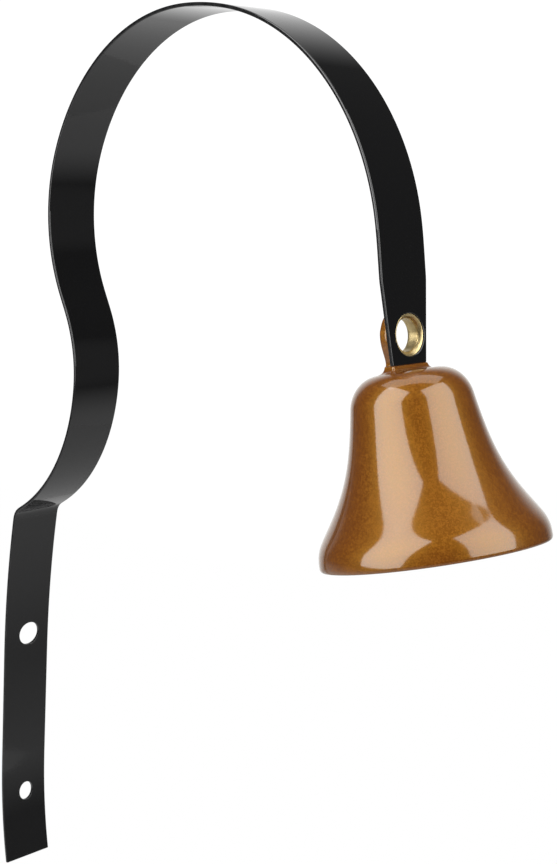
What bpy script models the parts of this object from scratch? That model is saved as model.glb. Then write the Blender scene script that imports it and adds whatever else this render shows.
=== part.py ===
"""Wall mounted bell: a cast bell on a bent spring strap that screws to a wall.

Metres, +Z up. The origin is on the wall face of the strap's mounting leg, midway between its two
screw holes. +X points out of the wall and Y runs across the strap's width.
"""

import math
from typing import NamedTuple

import bmesh
import bpy
from mathutils import Matrix, Vector


class Run(NamedTuple):
    """One stretch of the strap's side outline: its length and how far it turns outward, in degrees."""

    length: float
    turn: float


# Spring strap
STRAP_WIDTH = 0.020
STRAP_THICKNESS = 0.0012
FOOT = Run(0.0405, 11.5)
SEAT = Run(0.0455, 0.0)
SEAT_BELOW_ORIGIN = 0.0195
UPPER_LEG = Run(0.0568, 8.4)
KNEE = Run(0.0047, 50.8)
BELLY = Run(0.0638, -56.6)
WAIST = Run(0.0296, -35.5)
ARCH_SIDE = Run(0.0545, 51.1)
ARCH_SHOULDER = Run(0.0855, 67.9)
ARCH_CROWN = Run(0.0169, 9.3)
ARCH_FALL = Run(0.1008, 74.1)
TAIL = Run(0.0366, 0.0)
TAPER_LENGTH = 0.0245
TIP_WIDTH = 0.0152
LARGEST_TURN = 4.0
LONGEST_STEP = 0.006

# Screw holes in the leg
HOLE_SPACING = 0.0663
UPPER_HOLE_DIAMETER = 0.0090
LOWER_HOLE_WIDTH = 0.0062
LOWER_HOLE_HEIGHT = 0.0074

# How far the strap's three holes lie to one side of its middle, towards +Y
HOLE_OFFSET = 0.0009

# Gap that touching pieces keep, and the one at the strap's bending hinge
CLEARANCE = 0.0003

# Eyelet that rivets the strap to the bell's lug
EYELET_ABOVE_TIP = 0.0085
EYELET_BORE = 0.0097
EYELET_WALL = 0.00045
EYELET_RIM_DIAMETER = 0.0127
EYELET_CONE_DEPTH = 0.0015
EYELET_RIM_HEIGHT = 0.0001
EYELET_BACK_DIAMETER = 0.0124

# Bell casting, measured down its own axis from the top of the crown
BELL_BELOW_TIP = 0.0020
BELL_BEHIND_TIP = 0.0007
BELL_LEAN = 17.25
BELL_HEIGHT = 0.0537
MOUTH_RADIUS = 0.0340
CROWN_FLAT_RADIUS = 0.0089
SHOULDER_REACH = 0.0093
SHOULDER_DROP = 0.0107
FLARE_TOP_HANDLE = 0.0138
FLARE_TOP_SLOPE = 0.17
FLARE_LOW_HANDLE = 0.0107
FLARE_LOW_SLOPE = 0.65
LIP_DEPTH = 0.0127
LIP_REACH = 0.0047
LIP_TOP_HANDLE = 0.0052
LIP_LOW_HANDLE = 0.0048
LIP_EDGE = 0.0012
BELL_WALL = 0.0018
CROWN_THICKNESS = 0.0034

# Lug on the crown
LUG_THICKNESS = 0.0033
LUG_HEAD_RADIUS = 0.0083
LUG_NECK_HALF_WIDTH = 0.0067
LUG_NECK_BELOW_EYELET = 0.0068
LUG_FOOT_HALF_WIDTH = 0.0086
LUG_FOOT_FILLET = 0.0030
PLINTH_HALF_WIDTH = 0.0078
PLINTH_FRONT_PAST_STRAP = 0.0002
PLINTH_TOP_GAP = 0.0003
LUG_ROOT_DEPTH = 0.0015

# Clapper hanger
STAPLE_WIRE_RADIUS = 0.0010
STAPLE_HALF_SPREAD = 0.0035
STAPLE_DROP = 0.0060
STAPLE_ROOT = 0.0020
LINK_WIRE_RADIUS = 0.0008
LINK_HALF_WIDTH = 0.0032
LINK_LENGTH = 0.0110
ROD_WIRE_RADIUS = 0.0010
EYE_RADIUS = 0.0026
EYE_CRANK = 0.0013
CRANK_BELOW_EYE = 0.0065
CRANK_MIDDLE_BELOW_EYE = 0.0036
EYE_LAST_ANGLE = 200.0
BALL_RADIUS = 0.0065
BALL_BELOW_CROWN = 0.0431
ROD_INTO_BALL = 0.0050

# Resolution of round pieces
BELL_STEPS = 40
EYELET_STEPS = 32
HOLE_SIDES = 32
ARC_POINTS = 10

LEG_RUNS = (FOOT, SEAT, UPPER_LEG, KNEE, BELLY, WAIST)
ARCH_RUNS = (ARCH_SIDE, ARCH_SHOULDER, ARCH_CROWN, ARCH_FALL, TAIL)

MATERIALS = {
    "strap_paint": ((0.012, 0.013, 0.016), 0.18, 0.0),
    "bell_paint": ((0.32, 0.13, 0.028), 0.22, 0.55),
    "eyelet_brass": ((0.78, 0.60, 0.28), 0.22, 1.0),
    "hanger_steel": ((0.55, 0.54, 0.52), 0.30, 1.0),
    "clapper_iron": ((0.20, 0.19, 0.18), 0.45, 1.0),
}


class Station(NamedTuple):
    """A point on the strap's centreline, with its heading from +Z towards +X and its distance along."""

    x: float
    z: float
    heading: float
    along: float


def heading_at_foot():
    """The heading of the leg's lower end, so that the seat runs straight up the wall."""
    return -math.radians(FOOT.turn)


def arc_step(start, length, turn):
    """The station reached from start after one arc of the given length and turn in radians."""
    if abs(turn) < 1e-9:
        x = start.x + math.sin(start.heading) * length
        z = start.z + math.cos(start.heading) * length
    else:
        radius = length / turn
        x = start.x + radius * (math.cos(start.heading) - math.cos(start.heading + turn))
        z = start.z + radius * (math.sin(start.heading + turn) - math.sin(start.heading))
    return Station(x, z, start.heading + turn, start.along + length)


def walk(runs, start):
    """Stations along a chain of tangent runs, from start to the last run's end."""
    stations = [start]
    for run in runs:
        base = stations[-1]
        pieces = max(math.ceil(abs(run.turn) / LARGEST_TURN), math.ceil(run.length / LONGEST_STEP), 1)
        for k in range(1, pieces + 1):
            part = k / pieces
            stations.append(arc_step(base, run.length * part, math.radians(run.turn) * part))
    return stations


def leg_start():
    """The foot's station, placed so that the seat's wall face is the plane X = 0."""
    seat_x = STRAP_THICKNESS / 2
    trial = arc_step(Station(0.0, 0.0, heading_at_foot(), 0.0), FOOT.length, math.radians(FOOT.turn))
    return Station(seat_x - trial.x, -SEAT_BELOW_ORIGIN - trial.z, heading_at_foot(), 0.0)


LEG = walk(LEG_RUNS, leg_start())
HINGE = LEG[-1]
ARCH = walk(ARCH_RUNS, HINGE)
TIP = ARCH[-1]


def frame_matrix(origin, outward, upward):
    """A placement with local X outward, local Y across the strap and local Z upward."""
    across = upward.cross(outward)
    columns = Matrix((outward, across, upward)).transposed()
    return Matrix.Translation(origin) @ columns.to_4x4()


TAIL_DOWN = Vector((math.sin(TIP.heading), 0.0, math.cos(TIP.heading)))
TAIL_OUT = Vector((-TAIL_DOWN.z, 0.0, TAIL_DOWN.x))
TIP_POINT = Vector((TIP.x, 0.0, TIP.z))
TAIL_FRAME = frame_matrix(TIP_POINT - TAIL_DOWN * EYELET_ABOVE_TIP, TAIL_OUT, -TAIL_DOWN)
EYELET_FRAME = TAIL_FRAME @ Matrix.Translation((0.0, HOLE_OFFSET, 0.0))

BELL_DOWN = Vector((math.sin(math.radians(BELL_LEAN)), 0.0, -math.cos(math.radians(BELL_LEAN))))
BELL_OUT = Vector((-BELL_DOWN.z, 0.0, BELL_DOWN.x))
CROWN_POINT = TIP_POINT + TAIL_DOWN * BELL_BELOW_TIP - TAIL_OUT * BELL_BEHIND_TIP
BELL_FRAME = frame_matrix(CROWN_POINT, BELL_OUT, -BELL_DOWN)

STRAP_FACE = STRAP_THICKNESS / 2
LUG_FRONT = -STRAP_FACE - CLEARANCE
LUG_BACK = LUG_FRONT - LUG_THICKNESS


def clear_scene():
    """Removes what the scene holds, so that the model starts alone."""
    for item in list(bpy.data.objects):
        bpy.data.objects.remove(item, do_unlink=True)


def new_collection(name):
    """A collection under the scene's own."""
    collection = bpy.data.collections.new(name)
    bpy.context.scene.collection.children.link(collection)
    return collection


def make_material(name):
    """The named Principled material."""
    colour, roughness, metallic = MATERIALS[name]
    material = bpy.data.materials.new(name)
    material.use_nodes = True
    shader = material.node_tree.nodes["Principled BSDF"]
    shader.inputs["Base Color"].default_value = (*colour, 1.0)
    shader.inputs["Roughness"].default_value = roughness
    shader.inputs["Metallic"].default_value = metallic
    return material


def add_object(name, data, collection, material=None, matrix=None):
    """Links a mesh or curve as a named object, with its material and placement."""
    item = bpy.data.objects.new(name, data)
    collection.objects.link(item)
    if matrix is not None:
        item.matrix_world = matrix
    if material is not None:
        data.materials.append(material)
    return item


def as_cutter(item):
    """Marks an object as a tool that isn't part of the model."""
    item.hide_render = True
    item.display_type = "WIRE"
    return item


def add_boolean(item, tool, operation):
    """An exact Boolean of item with a tool object."""
    modifier = item.modifiers.new(tool.name, "BOOLEAN")
    modifier.operation = operation
    modifier.solver = "EXACT"
    modifier.object = tool


def cylinder_mesh(name, radius, length, sides=HOLE_SIDES, end_radius=None):
    """A capped cylinder or cone along local X, centred on its origin; end_radius is at +X."""
    shape = bmesh.new()
    last = radius if end_radius is None else end_radius
    turn = Matrix.Rotation(math.pi / 2, 4, "Y")
    bmesh.ops.create_cone(
        shape, cap_ends=True, segments=sides, radius1=radius, radius2=last, depth=length, matrix=turn
    )
    mesh = bpy.data.meshes.new(name)
    shape.to_mesh(mesh)
    shape.free()
    return mesh


def turned_mesh(name, outline):
    """A mesh of the outline's points (radius, height) in the local XZ plane, ready for Screw."""
    mesh = bpy.data.meshes.new(name)
    points = [(radius, 0.0, height) for radius, height in outline]
    edges = [(k, (k + 1) % len(points)) for k in range(len(points))]
    if outline[0][0] == 0.0 and outline[-1][0] == 0.0:
        edges.pop()
    mesh.from_pydata(points, edges, [])
    return mesh


def add_screw(item, steps):
    """Turns a profile once around its local Z axis."""
    screw = item.modifiers.new("turn", "SCREW")
    screw.steps = steps
    screw.render_steps = steps
    screw.use_merge_vertices = True
    screw.merge_threshold = 0.00001
    screw.use_smooth_shade = True


def wire_object(name, points, radius, collection, material, closed=False):
    """A round wire along the points, as a curve object with filled ends."""
    curve = bpy.data.curves.new(name, "CURVE")
    curve.dimensions = "3D"
    curve.bevel_depth = radius
    curve.bevel_resolution = 2
    curve.use_fill_caps = not closed
    spline = curve.splines.new("POLY")
    spline.points.add(len(points) - 1)
    for slot, point in zip(spline.points, points):
        slot.co = (*point, 1.0)
    spline.use_cyclic_u = closed
    return add_object(name, curve, collection, material)


def half_width(distance_to_tip):
    """Half the strap's width at a distance from its tip."""
    if distance_to_tip >= TAPER_LENGTH:
        return STRAP_WIDTH / 2
    share = distance_to_tip / TAPER_LENGTH
    return TIP_WIDTH / 2 + (STRAP_WIDTH - TIP_WIDTH) / 2 * share


def strap_object(name, stations, collection, material):
    """A strip along the stations: a flat grid bent along them, made solid by Solidify."""
    shape = bmesh.new()
    count = len(stations) - 1
    bmesh.ops.create_grid(shape, x_segments=count, y_segments=1, size=1.0)
    for corner in shape.verts:
        station = stations[round((corner.co.x + 1.0) / 2.0 * count)]
        side = math.copysign(half_width(TIP.along - station.along), corner.co.y)
        corner.co = (station.x, side, station.z)
    bmesh.ops.recalc_face_normals(shape, faces=shape.faces)
    mesh = bpy.data.meshes.new(name)
    shape.to_mesh(mesh)
    shape.free()
    item = add_object(name, mesh, collection, material)
    shell = item.modifiers.new("thickness", "SOLIDIFY")
    shell.thickness = STRAP_THICKNESS
    shell.offset = 0.0
    shell.use_even_offset = True
    return item


def station_at(stations, along):
    """The point of a bent strip at a distance along it, between two of its stations."""
    for first, second in zip(stations, stations[1:]):
        if first.along <= along <= second.along:
            part = (along - first.along) / (second.along - first.along)
            return Station(*(a + (b - a) * part for a, b in zip(first, second)))
    return stations[-1]


def make_leg(collection, cutters, material):
    """The mounting leg, from the foot to the bending hinge, with its two screw holes."""
    end = station_at(LEG, HINGE.along - CLEARANCE / 2)
    leg = strap_object("strap_leg", [s for s in LEG if s.along < end.along] + [end], collection, material)
    depth = STRAP_THICKNESS * 8
    upper = add_object("upper_hole_cutter", cylinder_mesh("upper_hole", UPPER_HOLE_DIAMETER / 2, depth), cutters)
    upper.location = (0.0, HOLE_OFFSET, HOLE_SPACING / 2)
    lower_mesh = cylinder_mesh("lower_hole", LOWER_HOLE_WIDTH / 2, depth)
    stretch = (LOWER_HOLE_HEIGHT - LOWER_HOLE_WIDTH) / 2
    for corner in lower_mesh.vertices:
        corner.co.z += math.copysign(stretch, corner.co.z)
    lower = add_object("lower_hole_cutter", lower_mesh, cutters)
    lower.location = (0.0, HOLE_OFFSET, -HOLE_SPACING / 2)
    for tool in (upper, lower):
        add_boolean(leg, as_cutter(tool), "DIFFERENCE")
    return leg


def eyelet_cone_slope():
    """How fast the eyelet's conical flange narrows with depth."""
    return (EYELET_RIM_DIAMETER / 2 - EYELET_BORE / 2 - EYELET_WALL) / EYELET_CONE_DEPTH


def make_arch(collection, cutters, material):
    """The spring arch, from the bending hinge to the tip, with its countersunk hole for the eyelet."""
    start = station_at(ARCH, HINGE.along + CLEARANCE / 2)
    arch = strap_object("strap_arch", [start] + [s for s in ARCH if s.along > start.along], collection, material)
    slope = eyelet_cone_slope()
    reach = STRAP_THICKNESS
    face_radius = EYELET_RIM_DIAMETER / 2 + CLEARANCE
    wide = face_radius + slope * (reach - STRAP_FACE)
    narrow = face_radius - slope * (reach + STRAP_FACE)
    cone = cylinder_mesh("eyelet_seat", narrow, 2 * reach, end_radius=wide)
    seat = add_object("eyelet_seat_cutter", cone, cutters, matrix=EYELET_FRAME)
    add_boolean(arch, as_cutter(seat), "DIFFERENCE")
    barrel = cylinder_mesh("strap_barrel", EYELET_BORE / 2 + EYELET_WALL + CLEARANCE, STRAP_THICKNESS * 4)
    hole = add_object("strap_barrel_cutter", barrel, cutters, matrix=EYELET_FRAME)
    add_boolean(arch, as_cutter(hole), "DIFFERENCE")
    return arch


def bezier(start, first, second, end, count):
    """Points of a cubic Bezier curve after its start."""
    points = []
    for k in range(1, count + 1):
        t = k / count
        weights = ((1 - t) ** 3, 3 * (1 - t) ** 2 * t, 3 * (1 - t) * t**2, t**3)
        handles = (start, first, second, end)
        points.append(tuple(sum(w * h[axis] for w, h in zip(weights, handles)) for axis in (0, 1)))
    return points


def bell_outer():
    """The bell's outer line as (radius, depth), from the crown's flat to the lip's lower edge."""
    line = [(CROWN_FLAT_RADIUS, 0.0)]
    shoulder_end = math.atan2(SHOULDER_REACH, SHOULDER_DROP * FLARE_TOP_SLOPE)
    for k in range(1, ARC_POINTS + 1):
        angle = shoulder_end * k / ARC_POINTS
        radius = CROWN_FLAT_RADIUS + SHOULDER_REACH * math.sin(angle)
        line.append((radius, SHOULDER_DROP * (1 - math.cos(angle))))
    shoulder = line[-1]
    lip = (MOUTH_RADIUS - LIP_REACH, BELL_HEIGHT - LIP_DEPTH)
    first = (shoulder[0] + FLARE_TOP_HANDLE * FLARE_TOP_SLOPE, shoulder[1] + FLARE_TOP_HANDLE)
    second = (lip[0] - FLARE_LOW_HANDLE * FLARE_LOW_SLOPE, lip[1] - FLARE_LOW_HANDLE)
    line += bezier(shoulder, first, second, lip, ARC_POINTS)
    edge = (MOUTH_RADIUS, BELL_HEIGHT - LIP_EDGE)
    turn_in = (lip[0] + LIP_TOP_HANDLE * FLARE_LOW_SLOPE, lip[1] + LIP_TOP_HANDLE)
    turn_out = (MOUTH_RADIUS, edge[1] - LIP_LOW_HANDLE)
    line += bezier(lip, turn_in, turn_out, edge, 6)
    for angle in (math.pi / 6, math.pi / 3, math.pi / 2):
        radius = MOUTH_RADIUS - LIP_EDGE / 2 * (1 - math.cos(angle))
        line.append((radius, edge[1] + LIP_EDGE * math.sin(angle)))
    return line


def bell_inner(outer):
    """The bell's inner line from the lip up to the crown, one wall inside the outer line."""
    line = []
    for before, here, after in zip(outer, outer[1:], outer[2:]):
        along = Vector((after[0] - before[0], after[1] - before[1])).normalized()
        radius = here[0] - along.y * BELL_WALL
        depth = here[1] + along.x * BELL_WALL
        if CROWN_THICKNESS < depth < BELL_HEIGHT - LIP_EDGE:
            line.append((radius, depth))
    line.sort(key=lambda point: -point[1])
    top = (line[-1][0] - BELL_WALL / 2, CROWN_THICKNESS)
    return [(line[0][0], BELL_HEIGHT)] + line + [top, (0.0, CROWN_THICKNESS)]


def lug_outline():
    """The lug's outline as (across, height over the eyelet's centre), right side then left side."""
    rise = LUG_NECK_BELOW_EYELET
    neck = LUG_NECK_HALF_WIDTH
    head = LUG_HEAD_RADIUS
    fillet = (neck**2 + rise**2 - head**2) / (2 * (head - neck))
    centre = Vector((neck + fillet, -rise))
    touch = centre * (head / centre.length)
    start_angle = math.atan2(touch.y, touch.x)
    right = []
    for k in range(2 * ARC_POINTS + 1):
        angle = math.pi / 2 + (start_angle - math.pi / 2) * k / (2 * ARC_POINTS)
        right.append((head * math.cos(angle), head * math.sin(angle)))
    first = math.atan2(touch.y - centre.y, touch.x - centre.x)
    for k in range(1, ARC_POINTS + 1):
        angle = first + (math.pi - first) * k / ARC_POINTS
        right.append((centre.x + fillet * math.cos(angle), centre.y + fillet * math.sin(angle)))
    for k in range(1, ARC_POINTS + 1):
        angle = math.pi + math.radians(55) * k / ARC_POINTS
        right.append((
            neck + LUG_FOOT_FILLET * (1 + math.cos(angle)),
            -rise + LUG_FOOT_FILLET * math.sin(angle),
        ))
    bottom = -(EYELET_ABOVE_TIP + BELL_BELOW_TIP + LUG_ROOT_DEPTH)
    foot = max(LUG_FOOT_HALF_WIDTH, right[-1][0])
    right += [(foot, right[-1][1] - (foot - right[-1][0])), (foot, bottom)]
    left = [(-across, height) for across, height in reversed(right) if across > 1e-9]
    return right + left


def outline_mesh(name, outline, thickness):
    """A flat plate of the outline in the local YZ plane, centred on local X = 0, as a closed mesh."""
    curve = bpy.data.curves.new(name, "CURVE")
    curve.dimensions = "2D"
    curve.fill_mode = "BOTH"
    curve.extrude = thickness / 2
    spline = curve.splines.new("POLY")
    spline.points.add(len(outline) - 1)
    for slot, (across, height) in zip(spline.points, outline):
        slot.co = (across, height, 0.0, 1.0)
    spline.use_cyclic_u = True
    flat = bpy.data.objects.new(name, curve)
    bpy.context.scene.collection.objects.link(flat)
    evaluated = flat.evaluated_get(bpy.context.evaluated_depsgraph_get())
    mesh = bpy.data.meshes.new_from_object(evaluated)
    bpy.data.objects.remove(flat, do_unlink=True)
    shape = bmesh.new()
    shape.from_mesh(mesh)
    bmesh.ops.remove_doubles(shape, verts=shape.verts, dist=0.000001)
    upright = Matrix(((0, 0, 1, 0), (1, 0, 0, 0), (0, 1, 0, 0), (0, 0, 0, 1)))
    bmesh.ops.transform(shape, matrix=upright, verts=shape.verts)
    bmesh.ops.recalc_face_normals(shape, faces=shape.faces)
    shape.to_mesh(mesh)
    shape.free()
    return mesh


def box_mesh(name, low, high):
    """A box between two corners."""
    shape = bmesh.new()
    bmesh.ops.create_cube(shape, size=1.0)
    for corner in shape.verts:
        corner.co = [a + (b - a) * (c + 0.5) for a, b, c in zip(low, high, corner.co)]
    mesh = bpy.data.meshes.new(name)
    shape.to_mesh(mesh)
    shape.free()
    return mesh


def add_lug(bell, cutters):
    """Joins the lug and its plinth to the crown, and drills the lug for the eyelet."""
    middle = (LUG_FRONT + LUG_BACK) / 2
    plate = outline_mesh("lug_plate", lug_outline(), LUG_THICKNESS)
    shift = Matrix.Translation((middle, 0.0, 0.0))
    lug = add_object("lug_body", plate, cutters, matrix=EYELET_FRAME @ shift)
    add_boolean(bell, as_cutter(lug), "UNION")
    top = -(EYELET_ABOVE_TIP + PLINTH_TOP_GAP)
    bottom = -(EYELET_ABOVE_TIP + BELL_BELOW_TIP + LUG_ROOT_DEPTH)
    low = (LUG_BACK + LUG_THICKNESS / 2, -PLINTH_HALF_WIDTH, bottom)
    high = (STRAP_FACE + PLINTH_FRONT_PAST_STRAP, PLINTH_HALF_WIDTH, top)
    plinth = add_object("lug_plinth", box_mesh("lug_plinth", low, high), cutters, matrix=TAIL_FRAME)
    rounding = plinth.modifiers.new("round", "BEVEL")
    rounding.width = PLINTH_TOP_GAP
    rounding.segments = 2
    add_boolean(bell, as_cutter(plinth), "UNION")
    radius = EYELET_BORE / 2 + EYELET_WALL + CLEARANCE
    drill = add_object("lug_drill", cylinder_mesh("lug_drill", radius, LUG_THICKNESS * 2), cutters,
                       matrix=EYELET_FRAME @ shift)
    add_boolean(bell, as_cutter(drill), "DIFFERENCE")


def add_staple_sockets(bell, cutters):
    """Drills the crown from inside for the staple's two legs."""
    depth = STAPLE_ROOT + CLEARANCE
    turn = Matrix.Rotation(math.pi / 2, 4, "Y")
    for side, name in ((-1, "near"), (1, "far")):
        mesh = cylinder_mesh(f"staple_socket_{name}", STAPLE_WIRE_RADIUS + CLEARANCE, 2 * depth, 16)
        place = Matrix.Translation((0.0, side * STAPLE_HALF_SPREAD, -CROWN_THICKNESS)) @ turn
        socket = add_object(f"staple_socket_{name}", mesh, cutters, matrix=BELL_FRAME @ place)
        add_boolean(bell, as_cutter(socket), "DIFFERENCE")


def make_bell(collection, cutters, material):
    """The bell casting: a turned shell with its lug, plinth and staple sockets."""
    outer = [(0.0, 0.0)] + bell_outer()
    outline = outer + bell_inner(outer[1:])
    mesh = turned_mesh("bell_shell", [(radius, -depth) for radius, depth in outline])
    bell = add_object("bell_shell", mesh, collection, material, BELL_FRAME)
    add_screw(bell, BELL_STEPS)
    add_lug(bell, cutters)
    add_staple_sockets(bell, cutters)
    return bell


def make_eyelet(collection, material):
    """The tubular rivet: a conical flange in the strap, a barrel, and a flange rolled over the lug."""
    bore = EYELET_BORE / 2
    barrel = bore + EYELET_WALL
    rim = EYELET_RIM_DIAMETER / 2
    back_rim = EYELET_BACK_DIAMETER / 2
    front = STRAP_FACE
    back = LUG_BACK - CLEARANCE
    cone_end = front - EYELET_CONE_DEPTH
    outline = [
        (bore, front - EYELET_CONE_DEPTH * 0.8),
        (rim - EYELET_WALL, front + EYELET_RIM_HEIGHT),
        (rim - EYELET_WALL / 2, front + EYELET_RIM_HEIGHT * 1.3),
        (rim, front + EYELET_RIM_HEIGHT * 0.7),
        (rim, front),
        (barrel, cone_end),
        (barrel, back),
        (back_rim - EYELET_WALL / 3, back),
        (back_rim, back - EYELET_WALL / 2),
        (back_rim - EYELET_WALL / 3, back - EYELET_WALL),
        (barrel + EYELET_WALL, back - EYELET_WALL * 1.2),
        (bore, back - EYELET_WALL * 0.2),
    ]
    mesh = turned_mesh("eyelet", outline)
    turn = Matrix.Rotation(math.pi / 2, 4, "Y")
    eyelet = add_object("eyelet", mesh, collection, material, EYELET_FRAME @ turn)
    add_screw(eyelet, EYELET_STEPS)
    return eyelet


def arc_points(centre, radius, first, last, count, plane):
    """Points of an arc in degrees around centre; plane gives the arc's two unit directions."""
    points = []
    for k in range(count + 1):
        angle = math.radians(first + (last - first) * k / count)
        points.append(centre + plane[0] * radius * math.cos(angle) + plane[1] * radius * math.sin(angle))
    return points


ACROSS = Vector((0.0, 1.0, 0.0))
OUT = Vector((1.0, 0.0, 0.0))
UP = Vector((0.0, 0.0, 1.0))
STAPLE_BOTTOM = CROWN_POINT + BELL_DOWN * (CROWN_THICKNESS + STAPLE_DROP)
LINK_TOP = STAPLE_BOTTOM + UP * (STAPLE_WIRE_RADIUS + LINK_WIRE_RADIUS + CLEARANCE)
LINK_BOTTOM = LINK_TOP - UP * LINK_LENGTH
EYE_TOP = LINK_BOTTOM + UP * (LINK_WIRE_RADIUS + ROD_WIRE_RADIUS + CLEARANCE)
EYE_CENTRE = EYE_TOP - UP * EYE_RADIUS
BALL_CENTRE = Vector((EYE_CENTRE.x, 0.0, CROWN_POINT.z - BALL_BELOW_CROWN))


def make_staple(collection, material):
    """The wire loop that hangs under the crown, its legs set in the casting."""
    spread = STAPLE_HALF_SPREAD
    bend = STAPLE_BOTTOM - BELL_DOWN * spread
    root = CROWN_POINT + BELL_DOWN * (CROWN_THICKNESS - STAPLE_ROOT)
    points = [root + ACROSS * spread]
    points += arc_points(bend, spread, 0.0, 180.0, 2 * ARC_POINTS, (ACROSS, BELL_DOWN))
    points += [root - ACROSS * spread]
    return wire_object("clapper_staple", points, STAPLE_WIRE_RADIUS, collection, material)


def make_link(collection, material):
    """The oval link between the staple and the clapper's eye, in the plane across the staple."""
    width = LINK_HALF_WIDTH
    upper = LINK_TOP - UP * width
    lower = LINK_BOTTOM + UP * width
    points = arc_points(upper, width, 0.0, 180.0, ARC_POINTS, (OUT, UP))
    points += arc_points(lower, width, 180.0, 360.0, ARC_POINTS, (OUT, UP))
    return wire_object("hanger_link", points, LINK_WIRE_RADIUS, collection, material, closed=True)


def make_rod(collection, material):
    """The clapper's wire: a straight shank, a small crank and an open eye around the link."""
    crank = EYE_CRANK
    neck = EYE_CENTRE - UP * (EYE_RADIUS + crank)
    points = [BALL_CENTRE - UP * (ROD_INTO_BALL - BALL_RADIUS), neck - UP * CRANK_BELOW_EYE]
    points += [neck - ACROSS * crank / 2 - UP * CRANK_MIDDLE_BELOW_EYE, neck - ACROSS * crank - UP * crank]
    points += arc_points(neck, crank, 180.0, 90.0, 4, (ACROSS, UP))[:-1]
    points += arc_points(EYE_CENTRE, EYE_RADIUS, -90.0, EYE_LAST_ANGLE, 2 * ARC_POINTS, (ACROSS, UP))
    return wire_object("clapper_rod", points, ROD_WIRE_RADIUS, collection, material)


def make_ball(collection, cutters, material):
    """The striker on the rod's lower end, bored from the top for it."""
    shape = bmesh.new()
    bmesh.ops.create_uvsphere(shape, u_segments=20, v_segments=14, radius=BALL_RADIUS)
    mesh = bpy.data.meshes.new("clapper_ball")
    shape.to_mesh(mesh)
    shape.free()
    mesh.shade_smooth()
    ball = add_object("clapper_ball", mesh, collection, material, Matrix.Translation(BALL_CENTRE))
    depth = ROD_INTO_BALL + CLEARANCE
    turn = Matrix.Rotation(math.pi / 2, 4, "Y")
    drill_mesh = cylinder_mesh("ball_drill", ROD_WIRE_RADIUS + CLEARANCE, 2 * depth, 16)
    place = Matrix.Translation(BALL_CENTRE + UP * BALL_RADIUS) @ turn
    drill = add_object("ball_drill", drill_mesh, cutters, matrix=place)
    add_boolean(ball, as_cutter(drill), "DIFFERENCE")
    return ball


def main():
    """Builds the bell."""
    clear_scene()
    collection = new_collection("wall_mounted_bell")
    cutters = new_collection("cutters")
    paints = {name: make_material(name) for name in MATERIALS}
    make_leg(collection, cutters, paints["strap_paint"])
    make_arch(collection, cutters, paints["strap_paint"])
    make_bell(collection, cutters, paints["bell_paint"])
    make_eyelet(collection, paints["eyelet_brass"])
    make_staple(collection, paints["hanger_steel"])
    make_link(collection, paints["hanger_steel"])
    make_rod(collection, paints["hanger_steel"])
    make_ball(collection, cutters, paints["clapper_iron"])


main()
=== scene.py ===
"""Looks of the wall mounted bell: a painted spring strap, a cast bell with its lug, eyelet and clapper.

Metres, +Z up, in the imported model's frame. The origin is on the strap's wall face, midway between its two
screw holes. +X points out of the wall and Y runs across the strap.
"""

import logging
import math
from dataclasses import dataclass
from enum import Enum
from functools import cached_property

import bmesh
import bpy
import numpy as np
from mathutils import Matrix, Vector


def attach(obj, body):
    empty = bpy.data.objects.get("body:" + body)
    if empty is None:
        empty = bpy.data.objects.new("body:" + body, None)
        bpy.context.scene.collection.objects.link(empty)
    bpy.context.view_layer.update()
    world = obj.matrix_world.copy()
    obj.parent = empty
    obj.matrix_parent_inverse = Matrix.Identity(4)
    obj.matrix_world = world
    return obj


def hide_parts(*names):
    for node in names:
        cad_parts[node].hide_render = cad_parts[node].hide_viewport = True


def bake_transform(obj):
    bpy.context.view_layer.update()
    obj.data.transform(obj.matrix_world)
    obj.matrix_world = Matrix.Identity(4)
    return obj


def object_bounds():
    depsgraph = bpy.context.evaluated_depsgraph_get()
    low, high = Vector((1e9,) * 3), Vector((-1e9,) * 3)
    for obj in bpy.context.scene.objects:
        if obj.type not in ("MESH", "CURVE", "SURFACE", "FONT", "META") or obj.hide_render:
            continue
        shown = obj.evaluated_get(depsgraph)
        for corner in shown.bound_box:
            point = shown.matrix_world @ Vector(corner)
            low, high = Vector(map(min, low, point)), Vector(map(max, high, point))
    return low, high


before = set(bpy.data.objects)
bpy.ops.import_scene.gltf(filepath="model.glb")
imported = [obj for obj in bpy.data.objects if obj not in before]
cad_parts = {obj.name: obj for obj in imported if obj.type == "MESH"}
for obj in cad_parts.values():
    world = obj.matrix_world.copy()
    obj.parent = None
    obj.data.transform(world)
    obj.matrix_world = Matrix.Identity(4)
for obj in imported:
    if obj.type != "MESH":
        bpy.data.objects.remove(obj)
CAD_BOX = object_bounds()

LOG = logging.getLogger("wall_bell")
ACROSS = np.array((0.0, 1.0, 0.0))
UP = np.array((0.0, 0.0, 1.0))
OUT = np.array((1.0, 0.0, 0.0))
MERGE_DISTANCE = 0.000002
NORMAL_WEIGHT = 60
MM = 0.001

Colour = tuple[float, float, float]
Value = float | tuple[float, ...] | np.ndarray | bpy.types.NodeSocket


class Body(Enum):
    """The rigid bodies that the pieces ride on."""

    LEG = "leg"
    ARCH = "arch"
    LINK = "link"
    CLAPPER = "clapper"


class Slot(Enum):
    """The record's material slots."""

    STRAP_PAINT = "strap_paint"
    BELL_PAINT = "bell_paint"
    EYELET_BRASS = "eyelet_brass"
    HANGER_STEEL = "hanger_steel"
    CLAPPER_IRON = "clapper_iron"


class Mark(Enum):
    """Point attributes that the finishes read."""

    EDGE = "edge"
    INSIDE = "inside"


# ---------------------------------------------------------------- meshes from grids


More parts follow.
